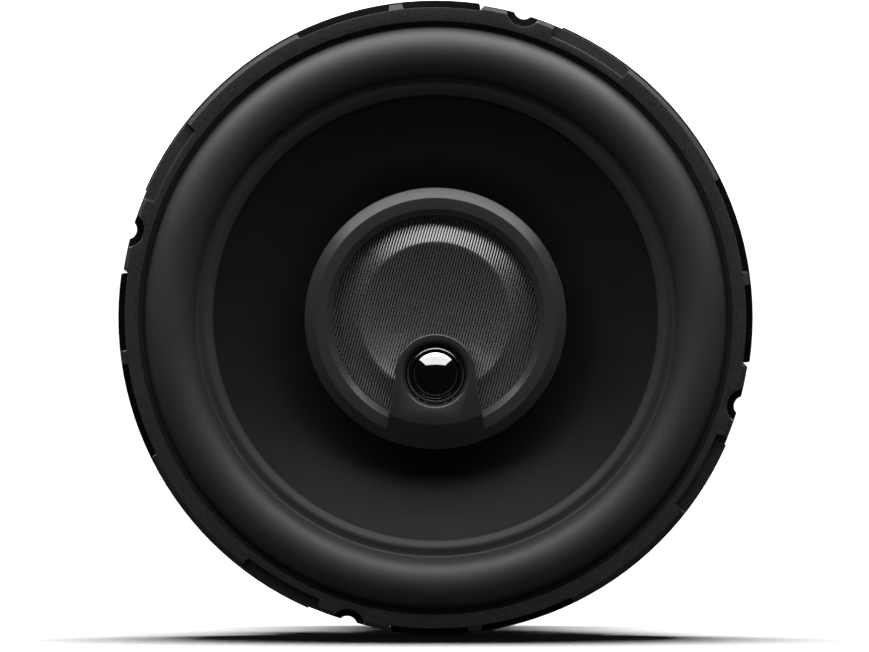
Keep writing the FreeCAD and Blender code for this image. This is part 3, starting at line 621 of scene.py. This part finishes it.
def soften(node, name, width, material, slot, body="frame", angle=32.0, segments=2):
    """A copy of a CAD node, its seams merged and its sharp edges rounded by width in millimetres."""
    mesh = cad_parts[node].data.copy()
    mesh.name = name
    work = bmesh.new()
    work.from_mesh(mesh)
    for layer in list(work.loops.layers.uv):
        work.loops.layers.uv.remove(layer)
    bmesh.ops.remove_doubles(work, verts=work.verts, dist=1e-6)
    bmesh.ops.dissolve_limit(
        work, angle_limit=math.radians(0.6), use_dissolve_boundaries=False, verts=work.verts,
        edges=work.edges,
    )
    work.to_mesh(mesh)
    work.free()
    for attribute in ("custom_normal", "sharp_face"):
        if attribute in mesh.attributes:
            mesh.attributes.remove(mesh.attributes[attribute])
    mesh.materials.clear()
    mesh.materials.append(material)
    piece = bpy.data.objects.new(name, mesh)
    bpy.context.scene.collection.objects.link(piece)
    bevel = piece.modifiers.new("edges", "BEVEL")
    bevel.width = width * MM
    bevel.segments = segments
    bevel.limit_method = "ANGLE"
    bevel.angle_limit = math.radians(angle)
    bevel.use_clamp_overlap = True
    bevel.harden_normals = False
    evaluated = piece.evaluated_get(bpy.context.evaluated_depsgraph_get())
    piece.data = bpy.data.meshes.new_from_object(evaluated)
    piece.data.name = name
    piece.modifiers.clear()
    piece.data.polygons.foreach_set("use_smooth", [True] * len(piece.data.polygons))
    piece.data.set_sharp_from_angle(angle=math.radians(angle))
    print(name, len(piece.data.polygons), "faces")
    return finish_part(piece, body, slot, node)


def bezel():
    mouth, lip, face, rim = 25.3, 27.2, 30.0, 32.5
    floor, shoulder, front = 4.4, 7.8, 10.0
    corners = [
        (mouth, floor), (rim, floor, 0.1), (rim, shoulder, 0.12), (face, front, 0.2), (lip, front, 0.1),
        (25.6, 8.6, 0.25),
    ]
    piece = lathe("pod_ring", eased(*corners, softness=0.05, steps=5), POD, steps=256)
    return finish_part(piece, "frame", "pod_plastic", "pod_bezel")


bezel()
soften("basket", "moulded_basket", 0.2, BLACK, "frame_plastic", angle=28.0)
tongue = soften("tweeter_bridge", "tweeter_tongue", 0.24, POD, "pod_plastic", segments=1)
# Faces of the tongue near the tweeter's axis get painted shade: the throat near black, and the flare round
# it darker than the pod.
TWEETER_Z, THROAT_SHADE_R, FLARE_SHADE_R = -13.7, 7.9, 8.25
tongue.data.materials.append(THROAT_SHADE)
tongue.data.materials.append(FLARE_SHADE)
reach = [math.hypot(v.co.x, v.co.z - TWEETER_Z * MM) for v in tongue.data.vertices]
for face in tongue.data.polygons:
    furthest = max(reach[i] for i in face.vertices)
    if furthest < FLARE_SHADE_R * MM:
        face.material_index = 1 if furthest < THROAT_SHADE_R * MM else 2

# %% [markdown]
# ## The ribbed midrange
#
# The diaphragm is a shallow dish inside a convex band, and fine parallel ribs run right across both.
# That is a shape with a rule: every point's height follows from its place. Geometry Nodes can take
# a plain grid and move each point by that rule. The rows are spread so that one row lies exactly on
# the crest between dish and band at every column, which keeps the crest crisp.

# %% Rib finish and its node tree

RIB_PITCH = 0.693
RIB_LEAN = math.radians(15.0)
RIB_HEIGHT = 0.09
STEPS_PER_RIB = 8
DISH_R, DISH_DEPTH, CREST_H = 18.6, 2.7, 6.4
BAND_R, BAND_DROP, FLAT_R = 24.8, 2.1, 26.2
ROWS_INSIDE, ROWS_BAND = 30, 12


def ribbed_film():
    f = Finish("ribbed_film", roughness=0.26, metallic=0.84)
    x, _, z = f.split(f.place)
    across = x * math.cos(RIB_LEAN) - z * math.sin(RIB_LEAN)
    unshaded_ridge = (across * (math.pi / (RIB_PITCH * MM))).sine().size().ramp(0.32, 0.8)
    cloud = f.noise(0.004, 3.0)
    # The colour is painted shade in the grooves: near black at each groove between the ribs, and the film's
    # own light colour on each ridge.
    f.colour((0.008, 0.008, 0.0085), (0.66, 0.66, 0.67), unshaded_ridge * (0.84 + 0.16 * cloud))
    f.feed("Roughness", 0.17 + 0.06 * cloud + 0.2 * (1 - unshaded_ridge))
    f.height(f.noise(0.0005, 2.0), 0.000003, 0.3)
    return f.material


FILM = ribbed_film()


def rib_tree():
    """A grid pushed into the ribbed dish and band. Lengths are in millimetres until the last step."""
    group = bpy.data.node_groups.new("ribbed_diaphragm", "GeometryNodeTree")
    group.interface.new_socket("Geometry", in_out="OUTPUT", socket_type="NodeSocketGeometry")
    for label in ("Rib pitch", "Rib height", "Dish radius", "Dish depth", "Crest height", "Band radius",
                  "Band drop", "Flat radius"):
        group.interface.new_socket(label, in_out="INPUT", socket_type="NodeSocketFloat")
    t = Tree(group)
    source = group.nodes.new("NodeGroupInput")
    size = {s.name: Value(t, s) for s in source.outputs if s.name}
    columns = int(round(2 * FLAT_R / RIB_PITCH * STEPS_PER_RIB)) + 1
    rows = 2 * (ROWS_INSIDE + ROWS_BAND) + 1
    grid = t.add("GeometryNodeMeshGrid", None,
                 {"Size X": 1.0, "Size Y": 1.0, "Vertices X": columns, "Vertices Y": rows}, "Mesh")
    x, y, _ = t.split(t.add("GeometryNodeInputPosition"))
    across = x * 2.0 * size["Flat radius"]
    t_row = y * 2.0
    half_crest = (size["Dish radius"] * size["Dish radius"] - across * across).root()
    half_all = (size["Flat radius"] * size["Flat radius"] - across * across).root()
    share = ROWS_INSIDE / (ROWS_INSIDE + ROWS_BAND)
    inner = t_row.math("MINIMUM", t_row.size() / share, 1.0)
    outer = ((t_row.size() - share) / (1 - share)).ramp(0.0, 1.0)
    along = (half_crest * inner + (half_all - half_crest) * outer) * t_row.math("SIGN", t_row)
    radius = (across * across + along * along).root()

    dish_curve = (size["Dish radius"] * size["Dish radius"] / size["Dish depth"] + size["Dish depth"]) * 0.5
    dish = (size["Crest height"] - size["Dish depth"]) + dish_curve - (
        dish_curve * dish_curve - radius * radius).root()
    out = ((radius - size["Dish radius"]) / (size["Band radius"] - size["Dish radius"])).ramp(0.0, 1.0)
    band = size["Crest height"] - size["Band drop"] * (out ** 1.08)
    is_band = radius.over(size["Dish radius"] + 1e-4)
    base = dish + (band - dish) * is_band
    rib = (across * math.pi / size["Rib pitch"]).sine().size()
    fade = 1.0 - ((radius - size["Band radius"]) / 0.6).ramp(0.0, 1.0)
    ahead = base + (rib - 1.0) * size["Rib height"] * fade

    lean_c, lean_s = math.cos(RIB_LEAN), math.sin(RIB_LEAN)
    right, up = across * lean_c + along * lean_s, along * lean_c - across * lean_s
    place = t.join(right * MM, ahead * -MM, up * MM)
    moved = t.add("GeometryNodeSetPosition", None, {"Geometry": grid, "Position": place})
    merged = t.add("GeometryNodeMergeByDistance", None, {"Geometry": moved, "Distance": 2e-6})
    flipped = t.add("GeometryNodeFlipFaces", None, {"Mesh": merged})
    whole = t.add("GeometryNodeRealizeInstances", None, {"Geometry": flipped})
    painted = t.add("GeometryNodeSetMaterial", None, {"Geometry": whole, "Material": FILM})
    sink = group.nodes.new("NodeGroupOutput")
    group.links.new(painted.socket, sink.inputs[0])
    return group


RIB_TREE = rib_tree()
print("rib tree has", len(RIB_TREE.nodes), "nodes")

# %% [markdown]
# A tree's inputs are set by their identifiers, before the object is first looked at. Then the evaluated
# result becomes a plain mesh.

# %% Make the diaphragm


def grow(name, tree, sizes):
    """Runs a geometry tree once and returns its result as a plain mesh object."""
    holder = bpy.data.objects.new(name, bpy.data.meshes.new(name))
    bpy.context.scene.collection.objects.link(holder)
    modifier = holder.modifiers.new("grow", "NODES")
    modifier.node_group = tree
    for item in tree.interface.items_tree:
        if item.item_type == "SOCKET" and item.in_out == "INPUT" and item.name in sizes:
            modifier[item.identifier] = sizes[item.name]
    evaluated = holder.evaluated_get(bpy.context.evaluated_depsgraph_get())
    mesh = bpy.data.meshes.new_from_object(evaluated)
    holder.modifiers.clear()
    holder.data = mesh
    mesh.name = name
    mesh.polygons.foreach_set("use_smooth", [True] * len(mesh.polygons))
    print(name, len(mesh.polygons), "faces")
    return holder


def midrange():
    piece = grow("ribbed_diaphragm", RIB_TREE, {
        "Rib pitch": RIB_PITCH, "Rib height": RIB_HEIGHT, "Dish radius": DISH_R, "Dish depth": DISH_DEPTH,
        "Crest height": CREST_H, "Band radius": BAND_R, "Band drop": BAND_DROP, "Flat radius": FLAT_R,
    })
    piece.data.set_sharp_from_angle(angle=math.radians(60))
    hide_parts("midrange_diaphragm", "midrange_edge")
    bend_radially(piece, BAND_R, DISH_R)
    return piece


midrange()

# %% [markdown]
# ## The tweeter's dome
#
# The dome is a thin polished cap. Almost everything it shows is a reflection, so it needs a finely divided,
# exact surface more than any texture. It has a narrow edge roll.

# %% Dome and edge

DOME_R, DOME_RISE, DOME_BASE = 6.1, 2.3, 11.3


def polished(name, smoothest):
    f = Finish(name, roughness=0.05, metallic=1.0)
    f.colour((0.70, 0.70, 0.71), (0.76, 0.76, 0.77), f.noise(0.002, 3.0))
    f.feed("Roughness", smoothest + 0.03 * f.noise(0.0015, 3.0))
    return f.material


DOME, ROLL = polished("polished_dome", 0.03), polished("polished_roll", 0.14)
curve = (DOME_R**2 + DOME_RISE**2) / (2 * DOME_RISE)
top_angle = math.degrees(math.asin(DOME_R / curve))
dome_outline = [
    *arc((0.0, DOME_BASE + DOME_RISE - curve), curve, 90, 90 - top_angle, 24),
    *arc((0.0, DOME_BASE + DOME_RISE - curve), curve - 0.2, 90 - top_angle * 0.995, 90, 12),
]
dome = lathe("polished_dome", dome_outline, DOME, steps=160, centre_z=TWEETER_Z, sharp=60)
finish_part(dome, "tweeter_moving", "dome_film", "tweeter_dome")

EDGE_R, SEAT_OUT = 7.03, 7.75
ROLL_CURVE, ROLL_SKIN, ROLL_START, ROLL_END = 1.52, 0.12, 80, 40
roll_start = math.radians(ROLL_START)
roll_centre = (
    DOME_R - ROLL_CURVE * math.cos(roll_start), DOME_BASE + 0.02 - ROLL_CURVE * math.sin(roll_start),
)
edge_outline = [
    (SEAT_OUT, DOME_BASE - 0.62), (SEAT_OUT, DOME_BASE - 0.5),
    *arc(roll_centre, ROLL_CURVE, ROLL_END, ROLL_START, 10),
    *arc(roll_centre, ROLL_CURVE - ROLL_SKIN, ROLL_START, ROLL_END, 8),
]
edge = lathe("tweeter_roll", edge_outline, ROLL, steps=160, centre_z=TWEETER_Z, sharp=60)
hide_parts("tweeter_edge")
bend_radially(edge, EDGE_R, DOME_R, TWEETER_Z)
print("dome", DOME_R * 2, "mm across")

# %% [markdown]
# ## The spider
#
# The spider is a disc of woven cloth, dipped in resin and pressed into rings. It centres the voice coil and
# lets it slide. Its rings are a wave in the outline. The weave is two sets of threads, so the finish
# crosses two sine patterns and raises each thread a little.

# %% Spider


def woven_cloth():
    f = Finish("woven_cloth", roughness=0.85, Sheen_Weight=0.3)
    x, _, z = f.split(f.place)
    pitch = 0.0007
    warp = (x * (math.pi / pitch)).sine().size()
    weft = (z * (math.pi / pitch)).sine().size()
    over = ((x * (math.pi / pitch / 2)).sine() * (z * (math.pi / pitch / 2)).sine()).over(0.0)
    weave = over * warp + (1 - over) * weft
    stain = f.noise(0.006, 3.0)
    f.colour((0.22, 0.13, 0.045), (0.46, 0.31, 0.13), (weave * 0.7 + stain * 0.5).ramp(0.1, 1.1))
    f.feed("Roughness", 0.7 + 0.2 * stain)
    f.height(weave, 0.00012, 0.8)
    return f.material


SPIDER_IN, SPIDER_OUT, LEDGE_H, SPIDER_T = 13.25, 43.9, -21.6, 0.45
WAVE_FROM, WAVE_TO, WAVE_H, WAVES = 15.2, 39.2, 0.9, 6


def spider():
    radii = np.linspace(SPIDER_IN, SPIDER_OUT, 190)
    phase = np.clip((radii - WAVE_FROM) / (WAVE_TO - WAVE_FROM), 0, 1) * WAVES * 2 * math.pi
    base = LEDGE_H + WAVE_H * np.sin(phase)
    outline = [(r, h + SPIDER_T) for r, h in zip(radii, base)]
    outline += [(r, h) for r, h in zip(radii[::-1], base[::-1])]
    piece = lathe("woven_spider", outline, woven_cloth(), steps=180, sharp=60)
    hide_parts("woofer_spider")
    bend_radially(piece, 38.5, 15.5)
    return piece


spider()

# %% [markdown]
# ## Leads
#
# Four leads run behind the cone. A real lead is a bundle: the two thin ones are braided copper
# that can bend millions of times, and the one to the pod is two insulated cores twisted together.
# Each route is a smooth NURBS curve through the same listed points as the CAD. A tube follows it, and its
# radius rises and falls with the braid or the twist.

# %% Routes and tubes


def beside(degrees, outward, sideways, ahead):
    """A point by its distance out along a direction, its distance across it, and how far ahead."""
    turn = math.radians(degrees)
    x = outward * math.cos(turn) - sideways * math.sin(turn)
    z = outward * math.sin(turn) + sideways * math.cos(turn)
    return (x * MM, -ahead * MM, z * MM)


def route_points(name, points):
    """Evenly followed points of the smooth route, from the curve itself."""
    curve = bpy.data.curves.new(name, "CURVE")
    curve.dimensions = "3D"
    curve.resolution_u = 24
    spline = curve.splines.new("NURBS")
    spline.points.add(len(points) - 1)
    for point, place in zip(spline.points, points):
        point.co = (*place, 1.0)
    spline.order_u = 3
    spline.use_endpoint_u = True
    holder = bpy.data.objects.new(name, curve)
    bpy.context.scene.collection.objects.link(holder)
    line = bpy.data.meshes.new_from_object(holder.evaluated_get(bpy.context.evaluated_depsgraph_get()))
    path = np.array([v.co for v in line.vertices])
    bpy.data.objects.remove(holder)
    bpy.data.meshes.remove(line)
    return path


def tube(name, points, radius, material, relief=None, step=0.25, around=20):
    """A closed tube along a route. relief(angle, distance) scales its radius. Lengths in mm."""
    path = route_points(name, points)
    gaps = np.linalg.norm(np.diff(path, axis=0), axis=1)
    reach = np.concatenate([[0], np.cumsum(gaps)])
    count = max(8, int(reach[-1] / (step * MM)))
    at = np.linspace(0, reach[-1], count)
    line = np.stack([np.interp(at, reach, path[:, k]) for k in range(3)], axis=1)
    ahead = np.gradient(line, axis=0)
    ahead /= np.linalg.norm(ahead, axis=1)[:, None]
    side = np.cross(ahead[0], (0.3, 0.5, 0.8))
    angle = np.linspace(0, 2 * math.pi, around, endpoint=False)
    rings = []
    for centre, along, distance in zip(line, ahead, at / MM):
        side = side - along * np.dot(side, along)
        side /= np.linalg.norm(side)
        up = np.cross(along, side)
        size = radius * MM * (relief(angle, distance) if relief else np.ones(around))
        rings.append(centre + size[:, None] * (np.cos(angle)[:, None] * side + np.sin(angle)[:, None] * up))
    rings = np.array(rings)
    index = np.arange(count * around).reshape(count, around)
    nxt = np.roll(index, -1, axis=1)
    sides = np.stack([index[:-1], nxt[:-1], nxt[1:], index[1:]], axis=-1).reshape(-1, 4)
    faces = [list(f) for f in sides] + [list(index[0][::-1]), list(index[-1])]
    print(name, round(at[-1] / MM, 1), "mm long")
    return make_mesh(name, rings.reshape(-1, 3), faces, material, sharp=50)


def braid(angle, distance):
    """Eight strands crossing eight."""
    one, two = np.cos(4 * angle + 4.2 * distance), np.cos(4 * angle - 4.2 * distance)
    return 0.9 + 0.1 * np.maximum(one, two)


def twist(angle, distance):
    """Two round cores turning about each other."""
    return 0.62 + 0.38 * np.abs(np.cos(angle - 0.55 * distance)) ** 0.7


def braided_copper():
    f = Finish("braided_copper", roughness=0.38, metallic=1.0)
    tarnish = f.noise(0.0015, 3.0)
    f.colour((0.62, 0.33, 0.19), (0.86, 0.60, 0.42), tarnish)
    f.feed("Roughness", 0.3 + 0.2 * tarnish)
    f.height(f.noise(0.00015, 2.0), 0.00003, 0.7)
    return f.material


def lead_jacket():
    f = Finish("lead_jacket", roughness=0.4)
    wipe = f.noise(0.004, 3.0)
    f.colour(grey(0.010), grey(0.024), wipe)
    f.feed("Roughness", 0.33 + 0.15 * wipe)
    f.height(f.noise(0.0006, 2.0), 0.00003, 0.4)
    return f.material


def tinned_wire():
    f = Finish("tinned_wire", roughness=0.25, metallic=1.0)
    dull = f.noise(0.001, 3.0)
    f.colour((0.55, 0.55, 0.56), (0.78, 0.78, 0.79), dull)
    f.feed("Roughness", 0.2 + 0.2 * dull)
    f.height(f.noise(0.0003, 2.0), 0.00002, 0.4)
    return f.material


BRAID, JACKET, TINNED = braided_copper(), lead_jacket(), tinned_wire()
TERMINAL_DEG, CAPACITOR_DEG = 150.0, 210.0
TERMINAL_LOW = -27.5
CONE_BACK = -10.7


def tinsel(side, name, node):
    points = [
        beside(TERMINAL_DEG, 56.0, side, -15.0), beside(TERMINAL_DEG, 50.5, side, -15.0),
        beside(TERMINAL_DEG, 45.5, side * 1.02, -14.1), beside(TERMINAL_DEG, 40.6, side * 1.06, -14.6),
        beside(TERMINAL_DEG, 36.0, side * 1.04, -16.2), beside(TERMINAL_DEG, 29.8, side, CONE_BACK - 1.2),
    ]
    piece = tube(name, points, 0.55, BRAID, braid, step=0.12, around=24)
    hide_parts(node)
    bend_radially(piece, 54.0, 32.0)
    return piece


tinsel(-5.0, "braided_lead_positive", "tinsel_lead_positive")
tinsel(5.0, "braided_lead_negative", "tinsel_lead_negative")

feed = tube("feed_wire", [
    beside(TERMINAL_DEG, 58.5, 9.8, TERMINAL_LOW), beside(TERMINAL_DEG, 58.5, 9.8, -31.5),
    beside(168, 47.5, 0, -29.6), beside(177, 44.9, 0, -27.6), beside(186, 45.2, 0, -27.3),
    beside(193, 49.5, 0, -22.0), beside(CAPACITOR_DEG, 58.28, -13.5, -16.6),
    beside(CAPACITOR_DEG, 58.28, -7.5, -16.6),
], 0.85, JACKET)
finish_part(feed, "frame", "lead_insulation", "capacitor_feed")

jumper = tube("bare_jumper", [
    beside(CAPACITOR_DEG, 58.28, 7.5, -16.6), beside(CAPACITOR_DEG, 58.28, 10.6, -16.6),
    beside(CAPACITOR_DEG, 52.8, 10.6, -21.6), beside(CAPACITOR_DEG, 52.8, 6.5, -21.6),
], 0.42, TINNED)
finish_part(jumper, "frame", "jumper_wire", "capacitor_jumper")

BACK = -54.0
pod_wire = tube("twisted_pod_wire", [
    beside(152.5, 58.5, 0, TERMINAL_LOW), beside(152.5, 58.5, 0, -33.0), beside(150.5, 51.0, 0, -41.0),
    beside(149.0, 46.5, 0, -47.0), beside(148.0, 43.5, 0, BACK), beside(148.5, 34.0, 0, BACK - 1.15),
    beside(150.0, 17.0, 0, BACK - 1.15), beside(150.0, 6.0, 0, BACK - 1.75),
    beside(0, 0.0, 0.0, BACK + 2.0), beside(0, 0.15, 0.0, -44.0), beside(0, 0.0, 0.15, -33.0),
    beside(0, 0.1, -0.1, -20.0), beside(0, 0.0, 0.0, -5.0),
], 1.1, JACKET, twist, step=0.3, around=24)
finish_part(pod_wire, "frame", "lead_insulation", "pod_lead")

# %% [markdown]
# ## Motor metals
#
# The plates are zinc-plated steel, faced on a lathe, so very fine rings run round the axis and the
# plating clouds a little. The magnet is pressed ferrite: dull, dark and faintly grainy, with small
# pale chips where its edges were knocked.

# %% Motor finishes


MAGNET_MIDDLE = 0.0425
WIRE_PITCH = 0.00025


def faced_steel():
    f = Finish("faced_steel", roughness=0.35, metallic=1.0)
    radius, along = f.axial()
    rings = f.noise(0.00035, 2.0, 0.6, f.join(radius, along, 0.0))
    cloud = f.noise(0.009, 4.0)
    spots = f.noise(0.0016, 2.0).ramp(0.62, 0.75)
    level = (0.5 * rings + 0.7 * cloud - 0.25 * spots).ramp(0.2, 0.9)
    f.colour((0.34, 0.34, 0.35), (0.62, 0.62, 0.61), level)
    f.feed("Roughness", 0.26 + 0.18 * cloud + 0.12 * spots)
    f.height(rings, 0.00003, 0.6)
    return f.material


def pressed_ferrite():
    f = Finish("pressed_ferrite", roughness=0.6)
    _, along = f.axial()
    grain, cloud = f.noise(0.0004, 2.0), f.noise(0.008, 4.0)
    near_edge = (along - MAGNET_MIDDLE).size().ramp(0.0052, 0.0066)
    chips = f.noise(0.0022, 3.0).ramp(0.66, 0.70) * near_edge
    f.colour(grey(0.028), (0.16, 0.155, 0.15), (cloud * 0.35 + grain * 0.2 + chips).ramp(0.15, 1.2))
    f.feed("Roughness", 0.5 + 0.25 * cloud)
    f.height(grain + chips * -2.0, 0.00006, 0.7)
    return f.material


def drawn_metal(name, dark, light, rough=0.3):
    f = Finish(name, roughness=rough, metallic=1.0)
    fine, cloud = f.noise(0.0004, 2.0), f.noise(0.003, 3.0)
    f.colour(dark, light, (fine * 0.5 + cloud * 0.6).ramp(0.2, 0.9))
    f.feed("Roughness", rough - 0.06 + 0.16 * cloud)
    f.height(fine, 0.00002, 0.5)
    return f.material


STEEL, FERRITE = faced_steel(), pressed_ferrite()
ALUMINIUM = drawn_metal("drawn_aluminium", (0.62, 0.62, 0.63), (0.82, 0.82, 0.83))
TIN = drawn_metal("tinned_brass", (0.62, 0.60, 0.55), (0.80, 0.78, 0.74), 0.25)
NEODYMIUM = drawn_metal("nickel_plate", (0.55, 0.54, 0.52), (0.72, 0.71, 0.69), 0.18)


def wound_copper():
    f = Finish("wound_copper", roughness=0.25, metallic=1.0)
    _, along = f.axial()
    turns = (along * (math.pi / WIRE_PITCH)).sine().size()
    f.colour((0.40, 0.15, 0.07), (0.83, 0.42, 0.24), turns * 0.7 + 0.4 * f.noise(0.002, 2.0))
    f.feed("Roughness", 0.2 + 0.15 * f.noise(0.001, 2.0))
    f.height(turns, 0.00008, 0.8)
    return f.material


def heat_film():
    f = Finish("heat_film", roughness=0.25, Coat_Weight=0.3)
    cloud = f.noise(0.003, 3.0)
    f.colour((0.26, 0.10, 0.015), (0.45, 0.21, 0.05), cloud)
    f.feed("Roughness", 0.2 + 0.12 * cloud)
    f.height(f.noise(0.0012, 2.0), 0.00003, 0.4)
    return f.material


COPPER, AMBER = wound_copper(), heat_film()
print("motor finishes ready")

# %% [markdown]
# ## Crossover parts
#
# Two capacitors are glued behind the basket. The film one is wrapped in yellow polyester tape, with
# resin at its ends. The electrolytic one has a shrunk blue sleeve with a pale stripe, and a bead of
# hot-melt glue holds both.

# %% Crossover finishes

STRIPE_Y = 0.0228


def across_spoke(f):
    """Distance along the capacitors' own axis."""
    x, _, z = f.split(f.place)
    turn = math.radians(CAPACITOR_DEG)
    return x * -math.sin(turn) + z * math.cos(turn)


def wrapped_tape():
    f = Finish("wrapped_tape", roughness=0.3, Coat_Weight=0.4)
    along = across_spoke(f)
    end = along.size().ramp(0.0062, 0.0068)
    crease = f.noise(0.0006, 2.0, 0.5, f.join(along * 0.2, 0.0, along * 3.0))
    cloud = f.noise(0.0035, 3.0)
    f.colour((0.72, 0.46, 0.05), (0.42, 0.22, 0.03), (end * 0.9 + cloud * 0.25).ramp(0.0, 1.1))
    f.feed("Roughness", 0.24 + 0.12 * cloud + 0.2 * end)
    f.height(crease + cloud, 0.00005, 0.5)
    return f.material


def shrunk_sleeve():
    f = Finish("shrunk_sleeve", roughness=0.25, Coat_Weight=0.5)
    _, y, _ = f.split(f.place)
    stripe = (1 - (y - STRIPE_Y).size().ramp(0.0006, 0.0009)) * 0.9
    cloud = f.noise(0.003, 3.0)
    f.colour((0.012, 0.035, 0.17), (0.45, 0.47, 0.52), (stripe + cloud * 0.06).ramp(0.0, 1.0))
    f.feed("Roughness", 0.2 + 0.12 * cloud)
    f.height(f.noise(0.0009, 2.0) + cloud, 0.00005, 0.5)
    return f.material


def hot_melt():
    f = Finish("hot_melt", roughness=0.35, Subsurface_Weight=0.25, Coat_Weight=0.2)
    cloud, bubbles = f.noise(0.002, 3.0), f.cells(0.0012)
    f.colour((0.52, 0.40, 0.20), (0.70, 0.60, 0.38), (cloud + 0.4 * bubbles).ramp(0.3, 0.9))
    f.feed("Roughness", 0.25 + 0.2 * cloud)
    f.height(cloud * 2.0 + bubbles, 0.00025, 0.7)
    return f.material


TAPE, SLEEVE, GLUE = wrapped_tape(), shrunk_sleeve(), hot_melt()

# %% [markdown]
# ## Painting the parts that stay
#
# These CAD parts already have the right shape, so each only gets its finish in its own material
# slot.

# %% Paint

PAINT = {
    "woofer_former": AMBER, "woofer_winding": COPPER, "lead_eyelets": TIN, "top_plate": STEEL,
    "magnet": FERRITE, "yoke": STEEL, "basket_rivets": ALUMINIUM, "centre_post": ALUMINIUM,
    "post_nut": STEEL, "post_retainer": STEEL,
    "pod_housing": POD, "midrange_frame": BLACK, "midrange_former": AMBER,
    "midrange_winding": COPPER, "midrange_yoke": STEEL, "midrange_magnet": NEODYMIUM,
    "midrange_pole": STEEL, "tweeter_former": AMBER, "tweeter_winding": COPPER, "tweeter_yoke": STEEL,
    "tweeter_magnet": NEODYMIUM, "tweeter_pole": STEEL, "terminal_block": BLACK, "terminal_screw": STEEL,
    "terminal_blade_positive": TIN, "terminal_blade_negative": TIN, "midrange_capacitor": TAPE,
    "tweeter_capacitor": SLEEVE, "capacitor_adhesive": GLUE,
}
for node, material in PAINT.items():
    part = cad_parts[node]
    part.data.materials.clear()
    part.data.materials.append(material)
print(len(PAINT), "CAD parts painted")

# %% [markdown]
# ## Floor and light
#
# The loudspeaker stands on its rim on a plain white floor. Two level panels overhead make the long
# highlights on the roll, the bezel and the dome, and the one further forward is dimmer. Two lights
# behind keep the basket and the magnet readable from the back. The floor has a light of its own, a
# little behind, so that its shadow falls forward. The floor's colour is dark and that light is strong,
# because then the world's soft light hardly fills the shadow.

# %% Studio


def soft_light(name, location, aim, size, power):
    data = bpy.data.lights.new(name, "AREA")
    data.shape = "RECTANGLE"
    data.size, data.size_y = size
    data.energy = power
    lamp = bpy.data.objects.new(name, data)
    bpy.context.scene.collection.objects.link(lamp)
    lamp.location = location
    direction = Vector(aim) - Vector(location)
    lamp.rotation_euler = direction.to_track_quat("-Z", "Y").to_euler()
    lamp.visible_camera = False
    return lamp


LIGHT_H = 0.7
HALF_WIDTH = 1.19 * LIGHT_H


def ceiling_panel(name, front, back, radiance):
    """A level panel overhead. Its front and back are in panel heights ahead of the loudspeaker."""
    length, middle = (front - back) * LIGHT_H, -(front + back) / 2 * LIGHT_H
    power = math.pi * radiance * length * 2 * HALF_WIDTH
    return soft_light(name, (0, middle, LIGHT_H), (0, middle, 0), (2 * HALF_WIDTH, length), power)


studio_lights = [
    ceiling_panel("overhead", 0.7, -0.84, 4.6),
    ceiling_panel("overhead_front", 1.9, 0.7, 1.15),
    soft_light("rear_left", (-1.2, 1.6, 0.9), (0, 0, 0), (1.2, 1.2), 45.0),
    soft_light("rear_right", (1.2, 1.6, 0.9), (0, 0, 0), (1.2, 1.2), 25.0),
]
floor_light = soft_light("floor_only", (0, 0.2, 0.7), (0, 0, -RIM_R), (0.6, 0.14), 360.0)


def stage_floor():
    """A floor that its own light makes white, and that turns into the background a little way off."""
    f = Finish("pale_floor", roughness=0.7, Specular_IOR_Level=0.0)
    f.colour(grey(0.028), grey(0.03), f.noise(0.2, 2.0))
    x, y, _ = f.split(f.place)
    away = (x * x + y * y).root().ramp(0.10, 0.30)
    glow = f.add("ShaderNodeEmission", None, {"Color": (1, 1, 1, 1), "Strength": 1.2}, "Emission")
    mixed = f.add("ShaderNodeMixShader", None, {0: away, 1: Value(f, f.shader.outputs[0]), 2: glow}, 0)
    f.tree.links.new(mixed.socket, f.tree.nodes["Material Output"].inputs["Surface"])
    mesh = bpy.data.meshes.new("floor")
    half, z = 6.0, -RIM_R
    corners = [(-half, -half, z), (half, -half, z), (half, half, z), (-half, half, z)]
    mesh.from_pydata(corners, [], [(0, 1, 2, 3)])
    mesh.materials.append(f.material)
    floor = bpy.data.objects.new("floor", mesh)
    bpy.context.scene.collection.objects.link(floor)
    floor.visible_diffuse = False
    floor.visible_glossy = False
    return floor


def share_light(lamps, floor, state):
    """Lets lamps light only the floor, or everything but the floor."""
    group = bpy.data.collections.new("light_" + state.lower())
    group.objects.link(floor)
    group.collection_objects[0].light_linking.link_state = state
    for lamp in lamps:
        lamp.light_linking.receiver_collection = group


floor = stage_floor()
share_light(studio_lights, floor, "EXCLUDE")
share_light([floor_light], floor, "INCLUDE")

world = bpy.data.worlds.new("studio")
bpy.context.scene.world = world
world.use_nodes = True
w = Tree(world.node_tree)
seen = w.add("ShaderNodeLightPath", None, None, "Is Camera Ray")
soft = w.add("ShaderNodeLightPath", None, None, "Is Diffuse Ray")
_, toward_back, _ = w.split(w.add("ShaderNodeTexCoord", None, None, "Generated"))
behind = toward_back.ramp(0.1, 0.7)
glow = seen * 1.2 + soft * (0.16 + 0.5 * behind) + (1 - soft) * behind * 0.55 + 0.003
background = world.node_tree.nodes["Background"]
world.node_tree.links.new(glow.socket, background.inputs["Strength"])
background.inputs["Color"].default_value = (1.0, 1.0, 1.0, 1.0)
bpy.context.scene.view_settings.view_transform = "Standard"
